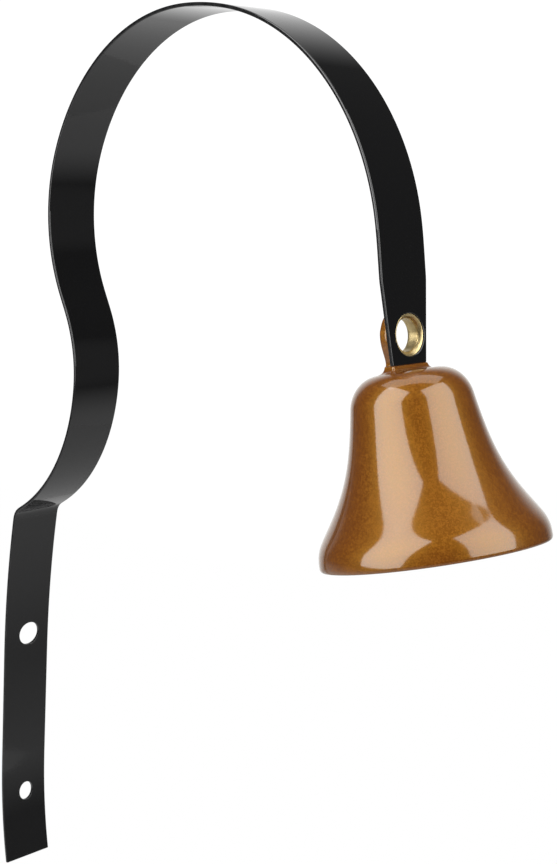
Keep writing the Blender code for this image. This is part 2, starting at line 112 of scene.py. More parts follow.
class Skin:
    """Grids of points gathered into one mesh, with one marked value at each point."""

    def __init__(self, mark: Mark | None = None) -> None:
        """Starts an empty skin.

        Args:
            mark: The point attribute that it fills, if any.
        """
        self.mark = mark
        self.points: list[np.ndarray] = []
        self.values: list[np.ndarray] = []
        self.quads: list[np.ndarray] = []
        self.count = 0

    def add_grid(self, points: np.ndarray, wrap: bool = False, value: float | np.ndarray = 0.0) -> None:
        """Adds a grid, with a quad between each four neighbours.

        Args:
            points: Places, in an array of rows by columns by 3.
            wrap: Joins the last column to the first.
            value: The marked value, one for the grid or one for each point.
        """
        rows, columns, _ = points.shape
        index = np.arange(rows * columns).reshape(rows, columns) + self.count
        if wrap:
            index = np.concatenate((index, index[:, :1]), axis=1)
        corners = (index[:-1, :-1], index[1:, :-1], index[1:, 1:], index[:-1, 1:])
        self.quads.append(np.stack(corners, axis=-1).reshape(-1, 4))
        self.points.append(points.reshape(-1, 3))
        self.values.append(np.broadcast_to(value, (rows, columns)).reshape(-1))
        self.count += rows * columns

    def build(self, name: str) -> bpy.types.Object:
        """Makes the object: the grids' shared rims are merged and its faces turned outwards.

        Args:
            name: The object's name.

        Returns:
            A smooth-shaded mesh object at the origin.
        """
        quads = np.concatenate(self.quads)
        mesh = bpy.data.meshes.new(name)
        mesh.vertices.add(self.count)
        mesh.vertices.foreach_set("co", np.concatenate(self.points).astype(np.float32).ravel())
        mesh.loops.add(quads.size)
        mesh.loops.foreach_set("vertex_index", quads.ravel())
        mesh.polygons.add(len(quads))
        mesh.polygons.foreach_set("loop_start", np.arange(0, quads.size, 4))
        mesh.update(calc_edges=True)
        if self.mark is not None:
            layer = mesh.attributes.new(self.mark.value, "FLOAT", "POINT")
            layer.data.foreach_set("value", np.concatenate(self.values).astype(np.float32))
        tidy = bmesh.new()
        tidy.from_mesh(mesh)
        bmesh.ops.remove_doubles(tidy, verts=tidy.verts, dist=MERGE_DISTANCE)
        bmesh.ops.recalc_face_normals(tidy, faces=tidy.faces)
        tidy.to_mesh(mesh)
        tidy.free()
        mesh.shade_smooth()
        item = bpy.data.objects.new(name, mesh)
        bpy.context.scene.collection.objects.link(item)
        return item


def make_piece(
    name: str, *grids: np.ndarray, mark: Mark | None = None, value: float | np.ndarray = 0.0
) -> bpy.types.Object:
    """Makes an object from grids that close on themselves.

    Args:
        name: The object's name.
        grids: Places, each in an array of rows by columns by 3.
        mark: The point attribute to fill, if any.
        value: Its value, one for all points or one for each point of a grid.

    Returns:
        A smooth-shaded mesh object at the origin.
    """
    skin = Skin(mark)
    for grid in grids:
        skin.add_grid(grid, wrap=True, value=value)
    return skin.build(name)


def weigh_normals(item: bpy.types.Object) -> None:
    """Keeps flat faces flat in the light, by weighing each normal by its faces' areas.

    Args:
        item: The object that gets the modifier.
    """
    modifier = item.modifiers.new("flat_faces", "WEIGHTED_NORMAL")
    modifier.mode = "FACE_AREA"
    modifier.weight = NORMAL_WEIGHT


def circle_directions(count: int, squeeze: float = 1.0) -> np.ndarray:
    """Unit directions (cos, sin) once round.

    Args:
        count: How many.
        squeeze: Scales the second axis first, so that below 1 they crowd towards the first axis.

    Returns:
        An array of directions by 2.
    """
    angle = np.linspace(0.0, 2.0 * math.pi, count, endpoint=False)
    pairs = np.stack((np.cos(angle), squeeze * np.sin(angle)), axis=-1)
    return pairs / np.linalg.norm(pairs, axis=-1, keepdims=True)


def cut_corners(outline: np.ndarray, rounds: int, closed: bool = True) -> np.ndarray:
    """Rounds an outline by cutting each corner at a quarter of its two sides, several times over.

    Args:
        outline: Its points, in an array of points by 2 or by 3.
        rounds: How many times; the outline comes close to a quadratic curve.
        closed: Whether the last point leads back to the first. An open outline keeps its two ends.

    Returns:
        The rounded outline.
    """
    for _ in range(rounds):
        following = np.roll(outline, -1, axis=0) if closed else outline[1:]
        here = outline if closed else outline[:-1]
        cut = np.stack((0.75 * here + 0.25 * following, 0.25 * here + 0.75 * following), axis=1)
        cut = cut.reshape(-1, outline.shape[1])
        outline = cut if closed else np.concatenate((outline[:1], cut, outline[-1:]))
    return outline


def bezier(handles: tuple[tuple[float, float], ...], count: int) -> np.ndarray:
    """Points of a cubic Bezier curve after its start.

    Args:
        handles: Its four (radius, depth) handles.
        count: How many points.

    Returns:
        An array of points by 2.
    """
    t = np.linspace(0.0, 1.0, count + 1)[1:, None]
    a, b, c, d = (np.array(handle) for handle in handles)
    return (1 - t) ** 3 * a + 3 * (1 - t) ** 2 * t * b + 3 * (1 - t) * t**2 * c + t**3 * d


@dataclass(frozen=True)
class Placement:
    """A local frame with its first axis outward, its second across the strap and its third upward."""

    origin: np.ndarray
    outward: np.ndarray
    upward: np.ndarray

    def place(self, points: np.ndarray) -> np.ndarray:
        """World places of local points."""
        return self.origin + points @ np.stack((self.outward, ACROSS, self.upward))

    def turned(self, profile: np.ndarray, sides: int, along_out: bool = False) -> np.ndarray:
        """A turned grid: each profile point carried once round an axis.

        Args:
            profile: (radius, height) points.
            sides: Points in each ring.
            along_out: Turns them about the outward axis, not the upward one.

        Returns:
            A grid of rings by sides.
        """
        ring = circle_directions(sides)
        radius, height = profile[:, 0, None], np.repeat(profile[:, 1, None], sides, axis=1)
        first, second = radius * ring[:, 0], radius * ring[:, 1]
        order = (height, first, second) if along_out else (first, second, height)
        return self.place(np.stack(order, axis=-1))


# ---------------------------------------------------------------- the strap


@dataclass(frozen=True)
class Run:
    """One stretch of the strap's side outline: its length and how far it turns outward, in degrees."""

    length: float
    turn: float


@dataclass(frozen=True)
class StrapLine:
    """The strap's centreline in the XZ plane, its bends eased into each other, and where its holes lie.

    The knee and the seat are runs, by number: the sharp bend, and the straight stretch on the wall.
    """

    leg: tuple[Run, ...] = (
        Run(0.0405, 11.5),
        Run(0.0455, 0.0),
        Run(0.0568, 8.4),
        Run(0.0047, 50.8),
        Run(0.0638, -56.6),
        Run(0.0296, -35.5),
    )
    arch: tuple[Run, ...] = (
        Run(0.0545, 51.1),
        Run(0.0855, 67.9),
        Run(0.0169, 9.3),
        Run(0.1008, 74.1),
        Run(0.0366, 0.0),
    )
    knee: int = 3
    seat: int = 1
    thickness: float = 0.0012
    seat_below_origin: float = 0.0195
    hole_offset: float = 0.0009
    eyelet_above_tip: float = 0.0085
    ease: float = 0.012
    knee_ease: float = 0.0034
    step: float = 0.0001

    @property
    def runs(self) -> tuple[Run, ...]:
        """The leg's runs and then the arch's."""
        return self.leg + self.arch

    @property
    def length(self) -> float:
        """The developed length."""
        return sum(run.length for run in self.runs)

    @property
    def hinge_along(self) -> float:
        """The distance along to the bending hinge, where the leg ends."""
        return sum(run.length for run in self.leg)

    def exact_ends(self) -> tuple[np.ndarray, np.ndarray, float]:
        """Walks the tangent arcs, each by its chord, from the seat.

        Returns:
            The hinge's point, the tip's point and the tip's heading from +Z towards +X.
        """
        place = np.zeros(2)
        heading = -math.radians(self.runs[0].turn)
        ends = [place]
        for run in self.runs:
            turn = math.radians(run.turn)
            chord = run.length * np.sinc(turn / 2 / math.pi)
            place = place + chord * np.array((math.sin(heading + turn / 2), math.cos(heading + turn / 2)))
            heading += turn
            ends.append(place)
        shift = np.array((self.thickness / 2, -self.seat_below_origin)) - ends[self.seat]
        return ends[len(self.leg)] + shift, ends[-1] + shift, heading

    @cached_property
    def table(self) -> tuple[np.ndarray, np.ndarray, np.ndarray, np.ndarray]:
        """Fine table of the line: the curvature of each run, averaged over a short window, summed twice.

        Returns:
            Arrays of distance along, x, z and heading.
        """
        along = np.arange(0.0, self.length + self.step / 2, self.step)
        edges = np.cumsum([run.length for run in self.runs])
        which = np.minimum(np.searchsorted(edges, along, side="right"), len(self.runs) - 1)
        rate = np.array([math.radians(run.turn) / run.length for run in self.runs])
        sharp = np.where(which == self.knee, rate[self.knee], 0.0)
        gentle = np.where(which == self.knee, 0.0, rate[which])
        curve = sum(
            np.convolve(np.pad(part, half, mode="edge"), np.ones(2 * half + 1) / (2 * half + 1), "valid")
            for part, half in (
                (gentle, round(self.ease / 2 / self.step)),
                (sharp, round(self.knee_ease / 2 / self.step)),
            )
        )
        middle = self.runs[0].length + self.runs[self.seat].length / 2
        heading = np.cumsum(curve) * self.step
        heading -= np.interp(middle, along, heading)
        x, z = np.cumsum(np.sin(heading)) * self.step, np.cumsum(np.cos(heading)) * self.step
        x += self.thickness / 2 - np.interp(middle, along, x)
        z += self.runs[self.seat].length / 2 - self.seat_below_origin - np.interp(middle, along, z)
        _, tip, _ = self.exact_ends()
        share = np.clip((along - self.hinge_along) / (self.length - self.hinge_along), 0.0, 1.0)
        share = share * share * (3 - 2 * share)
        return along, x + share * (tip[0] - x[-1]), z + share * (tip[1] - z[-1]), heading


@dataclass(frozen=True)
class Hole:
    """A hole in the strap: its centre along and across it, half sizes and the panel of strip it sits in."""

    along: float
    across: float
    half_along: float
    half_across: float
    panel_half: float
    cone_slope: float = 0.0


@dataclass(frozen=True)
class SpringStrap:
    """The painted steel strip: mounting leg, knee, S-bend, arch and tapered end."""

    line: StrapLine
    width: float = 0.020
    tip_width: float = 0.0152
    taper_length: float = 0.0245
    edge_radius: float = 0.00030
    edge_steps: int = 4
    columns: int = 14
    panel_rows: int = 14
    station_step: float = 0.0010
    station_turn: float = 0.020
    edge_guard: float = 0.012
    hole_lip: float = 0.00016
    hole_lip_steps: int = 4
    ring_shares: tuple[float, ...] = (0.0, 0.25, 0.5, 0.72, 0.88, 0.97)
    screw_spacing: float = 0.0663
    upper_hole: float = 0.0090
    lower_hole_width: float = 0.0062
    lower_hole_height: float = 0.0074
    screw_panel_half: float = 0.0080
    eyelet_seat_radius: float = 0.00640
    eyelet_cone_slope: float = 0.70
    eyelet_panel_half: float = 0.0076
    blend_reach: float = 0.014

    def half_width(self, along: np.ndarray) -> np.ndarray:
        """Half the strip's width: constant, then a straight taper to the tip."""
        share = np.clip((self.line.length - along) / self.taper_length, 0.0, 1.0)
        return self.tip_width / 2 + (self.width - self.tip_width) / 2 * share

    def bend(self, along: np.ndarray, across: np.ndarray, off: np.ndarray) -> np.ndarray:
        """Carries points of the flat strip onto the bent line.

        Args:
            along: Distance along the strip.
            across: Distance from its middle line.
            off: Height over its middle surface, towards the side that faces out at the tip.

        Returns:
            The bent places.
        """
        table, x, z, heading = self.line.table
        lean = np.interp(along, table, heading)
        here_x = np.interp(along, table, x) - off * np.cos(lean)
        here_z = np.interp(along, table, z) + off * np.sin(lean)
        return np.stack((here_x, across, here_z), axis=-1)

    def along_at_height(self, height: float) -> float:
        """The distance along at which the leg stands at a height.

        Args:
            height: World Z.

        Returns:
            The distance from the strip's foot.
        """
        table, _, z, _ = self.line.table
        leg = table < self.line.hinge_along
        return float(np.interp(height, z[leg], table[leg]))

    def holes(self) -> list[Hole]:
        """The two screw holes, from the foot up, and the eyelet's seat.

        Returns:
            The holes in their order along the strip.
        """
        lower = self.along_at_height(-self.screw_spacing / 2)
        upper = self.along_at_height(self.screw_spacing / 2)
        seat = self.line.length - self.line.eyelet_above_tip
        side, screw = self.line.hole_offset, self.screw_panel_half
        tall, wide, round_half = self.lower_hole_height / 2, self.lower_hole_width / 2, self.upper_hole / 2
        ring = self.eyelet_seat_radius
        return [
            Hole(lower, side, tall, wide, screw),
            Hole(upper, side, round_half, round_half, screw),
            Hole(seat, side, ring, ring, self.eyelet_panel_half, self.eyelet_cone_slope),
        ]

    def stations(self, first: float, last: float) -> np.ndarray:
        """Distances along between two ends, closer together where the strip turns fast.

        Args:
            first: Where they start.
            last: Where they end.

        Returns:
            Distances at even steps of a measure that grows with the length and with the turning.
        """
        table, _, _, heading = self.line.table
        turned = np.concatenate(([0.0], np.cumsum(np.abs(np.diff(heading)))))
        measure = table / self.station_step + turned / self.station_turn
        low, high = np.interp((first, last), table, measure)
        count = max(2, math.ceil(high - low) + 1)
        inner = np.interp(np.linspace(low, high, count), measure, table)
        inner[0], inner[-1] = first, last
        return inner

    def across_at(self, along: np.ndarray) -> np.ndarray:
        """Places across the flat face at each station, with a narrow column beside each rounded edge.

        Args:
            along: The stations.

        Returns:
            An array of stations by columns.
        """
        inner = 1 - self.edge_guard
        share = np.concatenate(([-1.0], np.linspace(-inner, inner, self.columns - 1), [1.0]))
        return (self.half_width(along) - self.edge_radius)[:, None] * share

    def face(self, along: np.ndarray, side: int) -> np.ndarray:
        """One flat face between two stations, bent.

        Args:
            along: The stations.
            side: 1 for the face that faces out at the tip, -1 for the other.

        Returns:
            A grid of stations by columns.
        """
        across = self.across_at(along)
        full = np.broadcast_to(along[:, None], across.shape)
        return self.bend(full, across, np.full(across.shape, side * self.line.thickness / 2))

    def rim(self, along: np.ndarray) -> np.ndarray:
        """The closed rim of a panel: one end, one side, the other end, and the second side back.

        Args:
            along: The panel's stations.

        Returns:
            (along, across) points.
        """
        across = self.across_at(along)
        low = np.stack((np.full(across.shape[1], along[0]), across[0]), axis=-1)
        right = np.stack((along, across[:, -1]), axis=-1)
        high = np.stack((np.full(across.shape[1], along[-1]), across[-1]), axis=-1)[::-1]
        left = np.stack((along, across[:, 0]), axis=-1)[::-1]
        return np.concatenate((low[:-1], right[:-1], high[:-1], left[:-1]))

    def panel(self, hole: Hole, along: np.ndarray) -> np.ndarray:
        """The strip around a hole: rings from the panel's rim over the face, into the hole and out again.

        A ring's points lie on straight lines from the rim to the hole's edge, which is the ellipse's radius
        in each rim point's direction; the hole's wall has a rounded lip at each face, or a cone.

        Args:
            hole: The hole.
            along: The panel's stations.

        Returns:
            A grid of rings by rim points.
        """
        rim = self.rim(along)
        middle = np.array((hole.along, hole.across))
        spoke = rim - middle
        spoke /= np.linalg.norm(spoke, axis=1, keepdims=True)
        radius = 1 / np.hypot(spoke[:, 0] / hole.half_along, spoke[:, 1] / hole.half_across)
        lip, half = self.hole_lip, self.line.thickness / 2
        turn = np.linspace(0.0, math.pi / 2, self.hole_lip_steps)
        over, depth = lip * (1 - np.sin(turn)), half - lip * (1 - np.cos(turn))
        over, depth = np.concatenate((over, over[::-1])), np.concatenate((depth, -depth[::-1]))
        grow = over + hole.cone_slope * (depth - half)
        rings = []
        ends = ((grow[0], half), (grow[-1], -half))
        shares = np.array(self.ring_shares)
        for order, (extra, off) in zip((1, -1), ends):
            edge = middle + spoke * (radius + extra)[:, None]
            lines = rim + (edge - rim) * shares[::order, None, None]
            rings.append(self.bend(lines[..., 0], lines[..., 1], np.full(lines.shape[:2], off)))
        walls = middle + spoke * (radius + grow[:, None])[..., None]
        wall = self.bend(walls[..., 0], walls[..., 1], np.repeat(depth[:, None], len(rim), axis=1))
        return np.concatenate((rings[0], wall, rings[1]))

    def outline(self, along: np.ndarray) -> tuple[np.ndarray, np.ndarray]:
        """The strip's whole outline, inset by its edge radius, with the direction outwards at each point.

        Args:
            along: Every station from the foot to the tip.

        Returns:
            Arrays of (along, across) points and unit directions; at a corner the point repeats while the
            direction turns.
        """
        across = self.across_at(along)
        slope = np.gradient(across[:, -1], along)
        side = np.stack((-slope, np.ones(len(along))), axis=-1)
        side /= np.linalg.norm(side, axis=1, keepdims=True)
        corner = np.linspace(0.0, 1.0, self.edge_steps + 1)[1:-1, None]
        points, ways = [], []

        def add(place: np.ndarray, way: np.ndarray) -> None:
            """Adds a stretch of the outline."""
            points.append(place)
            ways.append(np.broadcast_to(way, place.shape))

        def turn(place: np.ndarray, first: np.ndarray, last: np.ndarray) -> None:
            """Adds a corner.

            Args:
                place: The point, which stays where it is.
                first: The direction before it.
                last: The direction after it.
            """
            way = first + (last - first) * corner
            way /= np.linalg.norm(way, axis=1, keepdims=True)
            add(np.repeat(place[None], len(corner), axis=0), way)

        mirror = np.array((1.0, -1.0))
        right = np.stack((along, across[:, -1]), axis=-1)
        tip = np.stack((np.full(across.shape[1], along[-1]), across[-1]), axis=-1)[::-1]
        foot = np.stack((np.full(across.shape[1], along[0]), across[0]), axis=-1)
        ahead, behind = np.array((1.0, 0.0)), np.array((-1.0, 0.0))
        add(right, side)
        turn(right[-1], side[-1], ahead)
        add(tip, ahead)
        turn(tip[-1], ahead, side[-1] * mirror)
        add(right[::-1] * mirror, side[::-1] * mirror)
        turn(foot[0], side[0] * mirror, behind)
        add(foot, behind)
        turn(foot[-1], behind, side[0])
        return np.concatenate(points), np.concatenate(ways)

    def edge_band(self, along: np.ndarray) -> np.ndarray:
        """The rounded edge all round: a half-round section carried along the outline.

        Args:
            along: Every station from the foot to the tip.

        Returns:
            A grid of section points by outline points.
        """
        points, ways = self.outline(along)
        turn = np.linspace(0.0, math.pi / 2, self.edge_steps + 1)
        out = self.edge_radius * np.sin(turn)
        off = self.line.thickness / 2 - self.edge_radius * (1 - np.cos(turn))
        out, off = np.concatenate((out, out[::-1])), np.concatenate((off, -off[::-1]))
        places = points[None] + ways[None] * out[:, None, None]
        return self.bend(places[..., 0], places[..., 1], np.repeat(off[:, None], len(points), axis=1))

    def build(self) -> bpy.types.Object:
        """Makes the strip, from the foot to the tip in one piece.

        Returns:
            The strap, straight from its mesh.
        """
        skin = Skin(Mark.EDGE)
        start = self.edge_radius
        every = []
        for hole in [*self.holes(), None]:
            end = self.line.length - self.edge_radius if hole is None else hole.along - hole.panel_half
            plain = self.stations(start, end)
            for side in (1, -1):
                skin.add_grid(self.face(plain, side))
            every.append(plain if not every else plain[1:])
            if hole is not None:
                start = hole.along + hole.panel_half
                along = np.linspace(end, start, self.panel_rows + 1)
                skin.add_grid(self.panel(hole, along), wrap=True)
                every.append(along[1:])
        band = self.edge_band(np.concatenate(every))
        worn = np.zeros(band.shape[:2])
        worn[1:-1] = 1.0
        skin.add_grid(band, wrap=True, value=worn)
        strap = skin.build("spring_strap")
        weigh_normals(strap)
        return strap

    def mount(self, strap: bpy.types.Object) -> None:
        """Bakes the strap's placement into its mesh and hides the model's strap_leg and strap_arch parts.
        It works out the ends of a span on the diagonal through the hinge, but nothing uses them.

        Args:
            strap: The strap.
        """
        hinge, _, _ = self.line.exact_ends()
        middle = np.array((hinge[0], 0.0, hinge[1]))
        reach = (OUT + UP) / math.sqrt(2) * self.blend_reach
        start, end = tuple(middle - reach), tuple(middle + reach)
        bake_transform(strap)
        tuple(start)
        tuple(end)
        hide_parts("strap_leg", "strap_arch")


# ---------------------------------------------------------------- where the bell hangs


@dataclass(frozen=True)
class Hanging:
    """The places at the strap's end that the eyelet, the bell and the clapper are set by."""

    line: StrapLine
    bell_below_tip: float = 0.0020
    bell_behind_tip: float = 0.0007
    bell_lean: float = 17.25

    def eyelet(self) -> Placement:
        """The eyelet's place.

        Returns:
            Its centre, outward along its axis and upward along the strap.
        """
        _, tip, heading = self.line.exact_ends()
        down = np.array((math.sin(heading), 0.0, math.cos(heading)))
        outward = np.array((-down[2], 0.0, down[0]))
        middle = np.array((tip[0], self.line.hole_offset, tip[1]))
        return Placement(middle - down * self.line.eyelet_above_tip, outward, -down)

    def crown(self) -> Placement:
        """The bell's place.

        Returns:
            The middle of its crown, upward along its axis.
        """
        end = self.eyelet()
        tip = end.origin - end.upward * (self.line.eyelet_above_tip + self.bell_below_tip)
        tip = tip - ACROSS * self.line.hole_offset
        lean = math.radians(self.bell_lean)
        upward = np.array((-math.sin(lean), 0.0, math.cos(lean)))
        outward = np.array((math.cos(lean), 0.0, math.sin(lean)))
        return Placement(tip - end.outward * self.bell_behind_tip, outward, upward)


# ---------------------------------------------------------------- the bell casting


def smooth_least(first: np.ndarray, second: np.ndarray, reach: float) -> np.ndarray:
    """The smaller of two distances, rounded off where they are within reach of each other."""
    close = np.maximum(reach - np.abs(first - second), 0.0) / reach
    return np.minimum(first, second) - close * close * reach / 4


def rounded_block(edge: float, *sizes: np.ndarray) -> np.ndarray:
    """Signed distance to a block with rounded edges.

    Args:
        edge: The radius of its edges.
        sizes: For each direction, how far each point lies past the block's side less that radius.

    Returns:
        The length of the parts past the sides, or the nearest side's distance inside, less the radius.
    """
    past = np.stack(sizes)
    outside = np.sqrt(np.sum(np.maximum(past, 0) ** 2, axis=0))
    return outside + np.minimum(past.max(axis=0), 0) - edge


@dataclass(frozen=True)
class BellCasting:
    """The cast bell: a lug, a plinth under the strap's end, a round shoulder and a flare with a lip."""

    hanging: Hanging
    height: float = 0.0537
    mouth_radius: float = 0.0340
    crown_radius: float = 0.0089
    shoulder_reach: float = 0.0093
    shoulder_drop: float = 0.0107
    flare_top: tuple[float, float] = (0.0138, 0.17)
    flare_low: tuple[float, float] = (0.0107, 0.65)
    lip_depth: float = 0.0127
    lip_reach: float = 0.0047
    lip_handles: tuple[float, float] = (0.0052, 0.0048)
    lip_edge: float = 0.0012
    wall: float = 0.0018
    crown_thickness: float = 0.0034
    join_radius: float = 0.0110
    sides: int = 224
    shoulder_rings: int = 30
    flare_rings: int = 50
    lip_rings: int = 26
    edge_rings: int = 7
    inner_skip: int = 3
    lug_back: float = -0.0042
    lug_thickness: float = 0.0033
    lug_edge: float = 0.0009
    head_radius: float = 0.0083
    neck_half_width: float = 0.0065
    neck_fillet: float = 0.0030
    foot_fillet: float = 0.0036
    plinth_half_width: float = 0.0078
    plinth_front: float = 0.0008
    plinth_top: float = -0.00853
    plinth_edge: float = 0.00025
    plinth_fillet: float = 0.0026
    dome_rings: int = 44
    neck_rings: int = 62
    crown_rings: int = 12
    ray_crowding: float = 0.5
    furthest: float = 0.016
    halvings: int = 26
    metal_margin: float = 0.00000001
    drill_radius: float = 0.00555
    drill_reach: float = 1.6
    drill_sides: int = 64
    staple_half_spread: float = 0.0035
    boss_radius: float = 0.0021
    boss_height: float = 0.0009
    boss_sides: int = 40

    def shoulder_fall(self, radius: np.ndarray) -> np.ndarray:
        """How far the crown has fallen at a radius: none on its flat, then a quarter of an ellipse."""
        share = np.clip((radius - self.crown_radius) / self.shoulder_reach, 0.0, 1.0)
        return self.shoulder_drop * (1 - np.sqrt(1 - share * share))

    def outer_line(self) -> np.ndarray:
        """The outer line below the crown: shoulder ellipse, flare curve, lip curve and rounded edge.

        Returns:
            (radius, depth) points from the crown patch's edge to the bottom of the lip.
        """
        start = math.asin((self.join_radius - self.crown_radius) / self.shoulder_reach)
        end = math.atan2(self.shoulder_reach, self.shoulder_drop * self.flare_top[1])
        turn = np.linspace(start, end, self.shoulder_rings)
        shoulder = np.stack(
            (
                self.crown_radius + self.shoulder_reach * np.sin(turn),
                self.shoulder_drop * (1 - np.cos(turn)),
            ),
            axis=-1,
        )
        top, low = tuple(shoulder[-1]), (self.mouth_radius - self.lip_reach, self.height - self.lip_depth)
        reach_top, slope_top = self.flare_top
        reach_low, slope_low = self.flare_low
        flare = bezier(
            (
                top,
                (top[0] + reach_top * slope_top, top[1] + reach_top),
                (low[0] - reach_low * slope_low, low[1] - reach_low),
                low,
            ),
            self.flare_rings,
        )
        turn_in, turn_out = self.lip_handles
        bottom = self.height - self.lip_edge
        lip = bezier(
            (
                low,
                (low[0] + turn_in * slope_low, low[1] + turn_in),
                (self.mouth_radius, bottom - turn_out),
                (self.mouth_radius, bottom),
            ),
            self.lip_rings,
        )
        turn = np.linspace(0.0, math.pi / 2, self.edge_rings)[1:]
        edge = np.stack(
            (
                self.mouth_radius - self.lip_edge / 2 * (1 - np.cos(turn)),
                self.height - self.lip_edge * (1 - np.sin(turn)),
            ),
            axis=-1,
        )
        return np.concatenate((shoulder, flare, lip, edge))

    def inner_line(self, outer: np.ndarray) -> np.ndarray:
        """The inner line from the lip up to the middle of the crown, one wall inside the outer line.

        Args:
            outer: The outer line.

        Returns:
            (radius, depth) points.
        """
        along = np.gradient(outer, axis=0)
        along /= np.linalg.norm(along, axis=1, keepdims=True)
        inset = outer + np.stack((-along[:, 1], along[:, 0]), axis=-1) * self.wall
        below_crown = inset[:, 1] > self.crown_thickness + self.wall
        above_lip = inset[:, 1] < self.height - 2 * self.lip_edge
        line = inset[below_crown & above_lip][:: -self.inner_skip]
        lip = np.array(
            (
                (line[0, 0] + self.lip_edge * 0.9, self.height),
                (line[0, 0] + self.lip_edge * 0.3, self.height),
                (line[0, 0], self.height - self.lip_edge * 0.4),
            )
        )
        top = line[-1]
        corner = np.array(((top[0] - self.wall / 2, self.crown_thickness), (0.0, self.crown_thickness)))
        return np.concatenate((lip, cut_corners(np.concatenate((line, corner)), 2, closed=False)))

    def lug_distance(self, points: np.ndarray) -> np.ndarray:
        """Signed distance to the lug, its plinth and the crown, joined by fillets; negative is metal.

        The lug is a plate with a round head and a straight neck, its edges rounded; the plinth is a rounded
        block; the crown is the surface that falls away from its flat.

        Args:
            points: World places, in an array that ends with 3.

        Returns:
            One distance for each place.
        """
        end, crown = self.hanging.eyelet(), self.hanging.crown()
        seen = points - end.origin
        off, across, rise = seen @ end.outward, np.abs(seen[..., 1]), seen @ end.upward
        head = np.hypot(across, rise) - self.head_radius
        neck = np.maximum(across - self.neck_half_width, rise)
        flat = smooth_least(head, neck, self.neck_fillet) + self.lug_edge
        middle = self.lug_back + self.lug_thickness / 2
        thick = np.abs(off - middle) - self.lug_thickness / 2 + self.lug_edge
        lug = rounded_block(self.lug_edge, flat, thick)
        plinth_middle, plinth_half = (self.plinth_front + middle) / 2, (self.plinth_front - middle) / 2
        wide = np.abs(points[..., 1]) - self.plinth_half_width + self.plinth_edge
        deep = np.abs(off - plinth_middle) - plinth_half + self.plinth_edge
        high = rise - self.plinth_top + self.plinth_edge
        plinth = rounded_block(self.plinth_edge, wide, deep, high)
        local = points - crown.origin
        height = local @ crown.upward
        radius = np.hypot(local @ crown.outward, points[..., 1])
        top = height + self.shoulder_fall(radius)
        return np.minimum(
            smooth_least(lug, top, self.foot_fillet),
            smooth_least(smooth_least(plinth, lug, self.plinth_edge), top, self.plinth_fillet),
        )

    def reach_out(self, start: np.ndarray, way: np.ndarray, furthest: float) -> np.ndarray:
        """Points where rays from inside the lug leave its metal, found by halving the ray's length.

        Args:
            start: Where the rays start.
            way: Their unit directions, in a grid.
            furthest: A length at which all of them are outside.

        Returns:
            A grid of points.
        """
        low = np.zeros(way.shape[:-1])
        high = np.full(way.shape[:-1], furthest)
        for _ in range(self.halvings):
            middle = (low + high) / 2
            inside = self.lug_distance(start + way * middle[..., None]) < -self.metal_margin
            low, high = np.where(inside, middle, low), np.where(inside, high, middle)
        return start + way * low[..., None]

    def lug_rows(self) -> np.ndarray:
        """Rings of the lug: rays from the head's centre, then level rays down its middle line.

        Returns:
            A grid of rings by sides, from the head's top to the crown.
        """
        end, crown = self.hanging.eyelet(), self.hanging.crown()
        middle = self.lug_back + self.lug_thickness / 2
        centre = end.origin + end.outward * middle
        ring = circle_directions(self.sides, squeeze=self.ray_crowding)
        level = ring[:, 0, None] * ACROSS + ring[:, 1, None] * crown.outward
        step = np.linspace(math.pi / 2, 0.0, self.dome_rings, endpoint=False)
        lift = math.pi / 2 * np.sin(step)[:, None, None]
        rays = np.cos(lift) * level + np.sin(lift) * end.upward
        dome = self.reach_out(centre, rays, 2 * self.head_radius)
        fall = (centre - crown.origin) @ crown.upward / (end.upward @ crown.upward)
        near = np.linspace(0.0, 1.0, self.neck_rings)[:, None, None]
        starts = centre - end.upward * fall * near**0.8
        ways = np.broadcast_to(level, (self.neck_rings, self.sides, 3))
        return np.concatenate((dome, self.reach_out(starts, ways, self.furthest)))

    def crown_patch(self, foot: np.ndarray) -> np.ndarray:
        """Rings that spread from the lug's foot to a circle on the shoulder, lying on the crown.

        Args:
            foot: The lug's last ring.

        Returns:
            A grid of rings by sides.
        """
        crown = self.hanging.crown()
        local = foot - crown.origin
        ring = circle_directions(self.sides)
        inner = np.stack((local @ crown.outward, foot[:, 1]), axis=-1)
        outer = self.join_radius * ring[:, ::-1]
        share = np.linspace(0.0, 1.0, self.crown_rings)[1:-1, None, None]
        flat = inner + (outer - inner) * share
        fall = self.shoulder_fall(np.linalg.norm(flat, axis=-1))
        return crown.place(np.stack((flat[..., 0], flat[..., 1], -fall), axis=-1))

    def build(self) -> bpy.types.Object:
        """Makes the casting as one grid of rings from the lug's top, over the skirt and up inside.

        Returns:
            The bell with its lug, drilled for the eyelet.
        """
        crown = self.hanging.crown()
        outer = self.outer_line()
        inner = self.inner_line(outer)
        lug = self.lug_rows()
        patch = self.crown_patch(lug[-1])
        line = np.concatenate((outer, inner))
        ring = circle_directions(self.sides)
        radius = line[:, 0, None]
        depth = np.repeat(-line[:, 1, None], self.sides, axis=1)
        skirt = crown.place(np.stack((radius * ring[:, 1], radius * ring[:, 0], depth), axis=-1))
        rings = np.concatenate((lug, patch, skirt))
        inside = np.zeros(rings.shape[:2])
        inside[-len(inner):] = 1.0
        bell = make_piece("cast_bell", rings, mark=Mark.INSIDE, value=inside)
        self.drill(bell)
        weigh_normals(bell)
        return bell

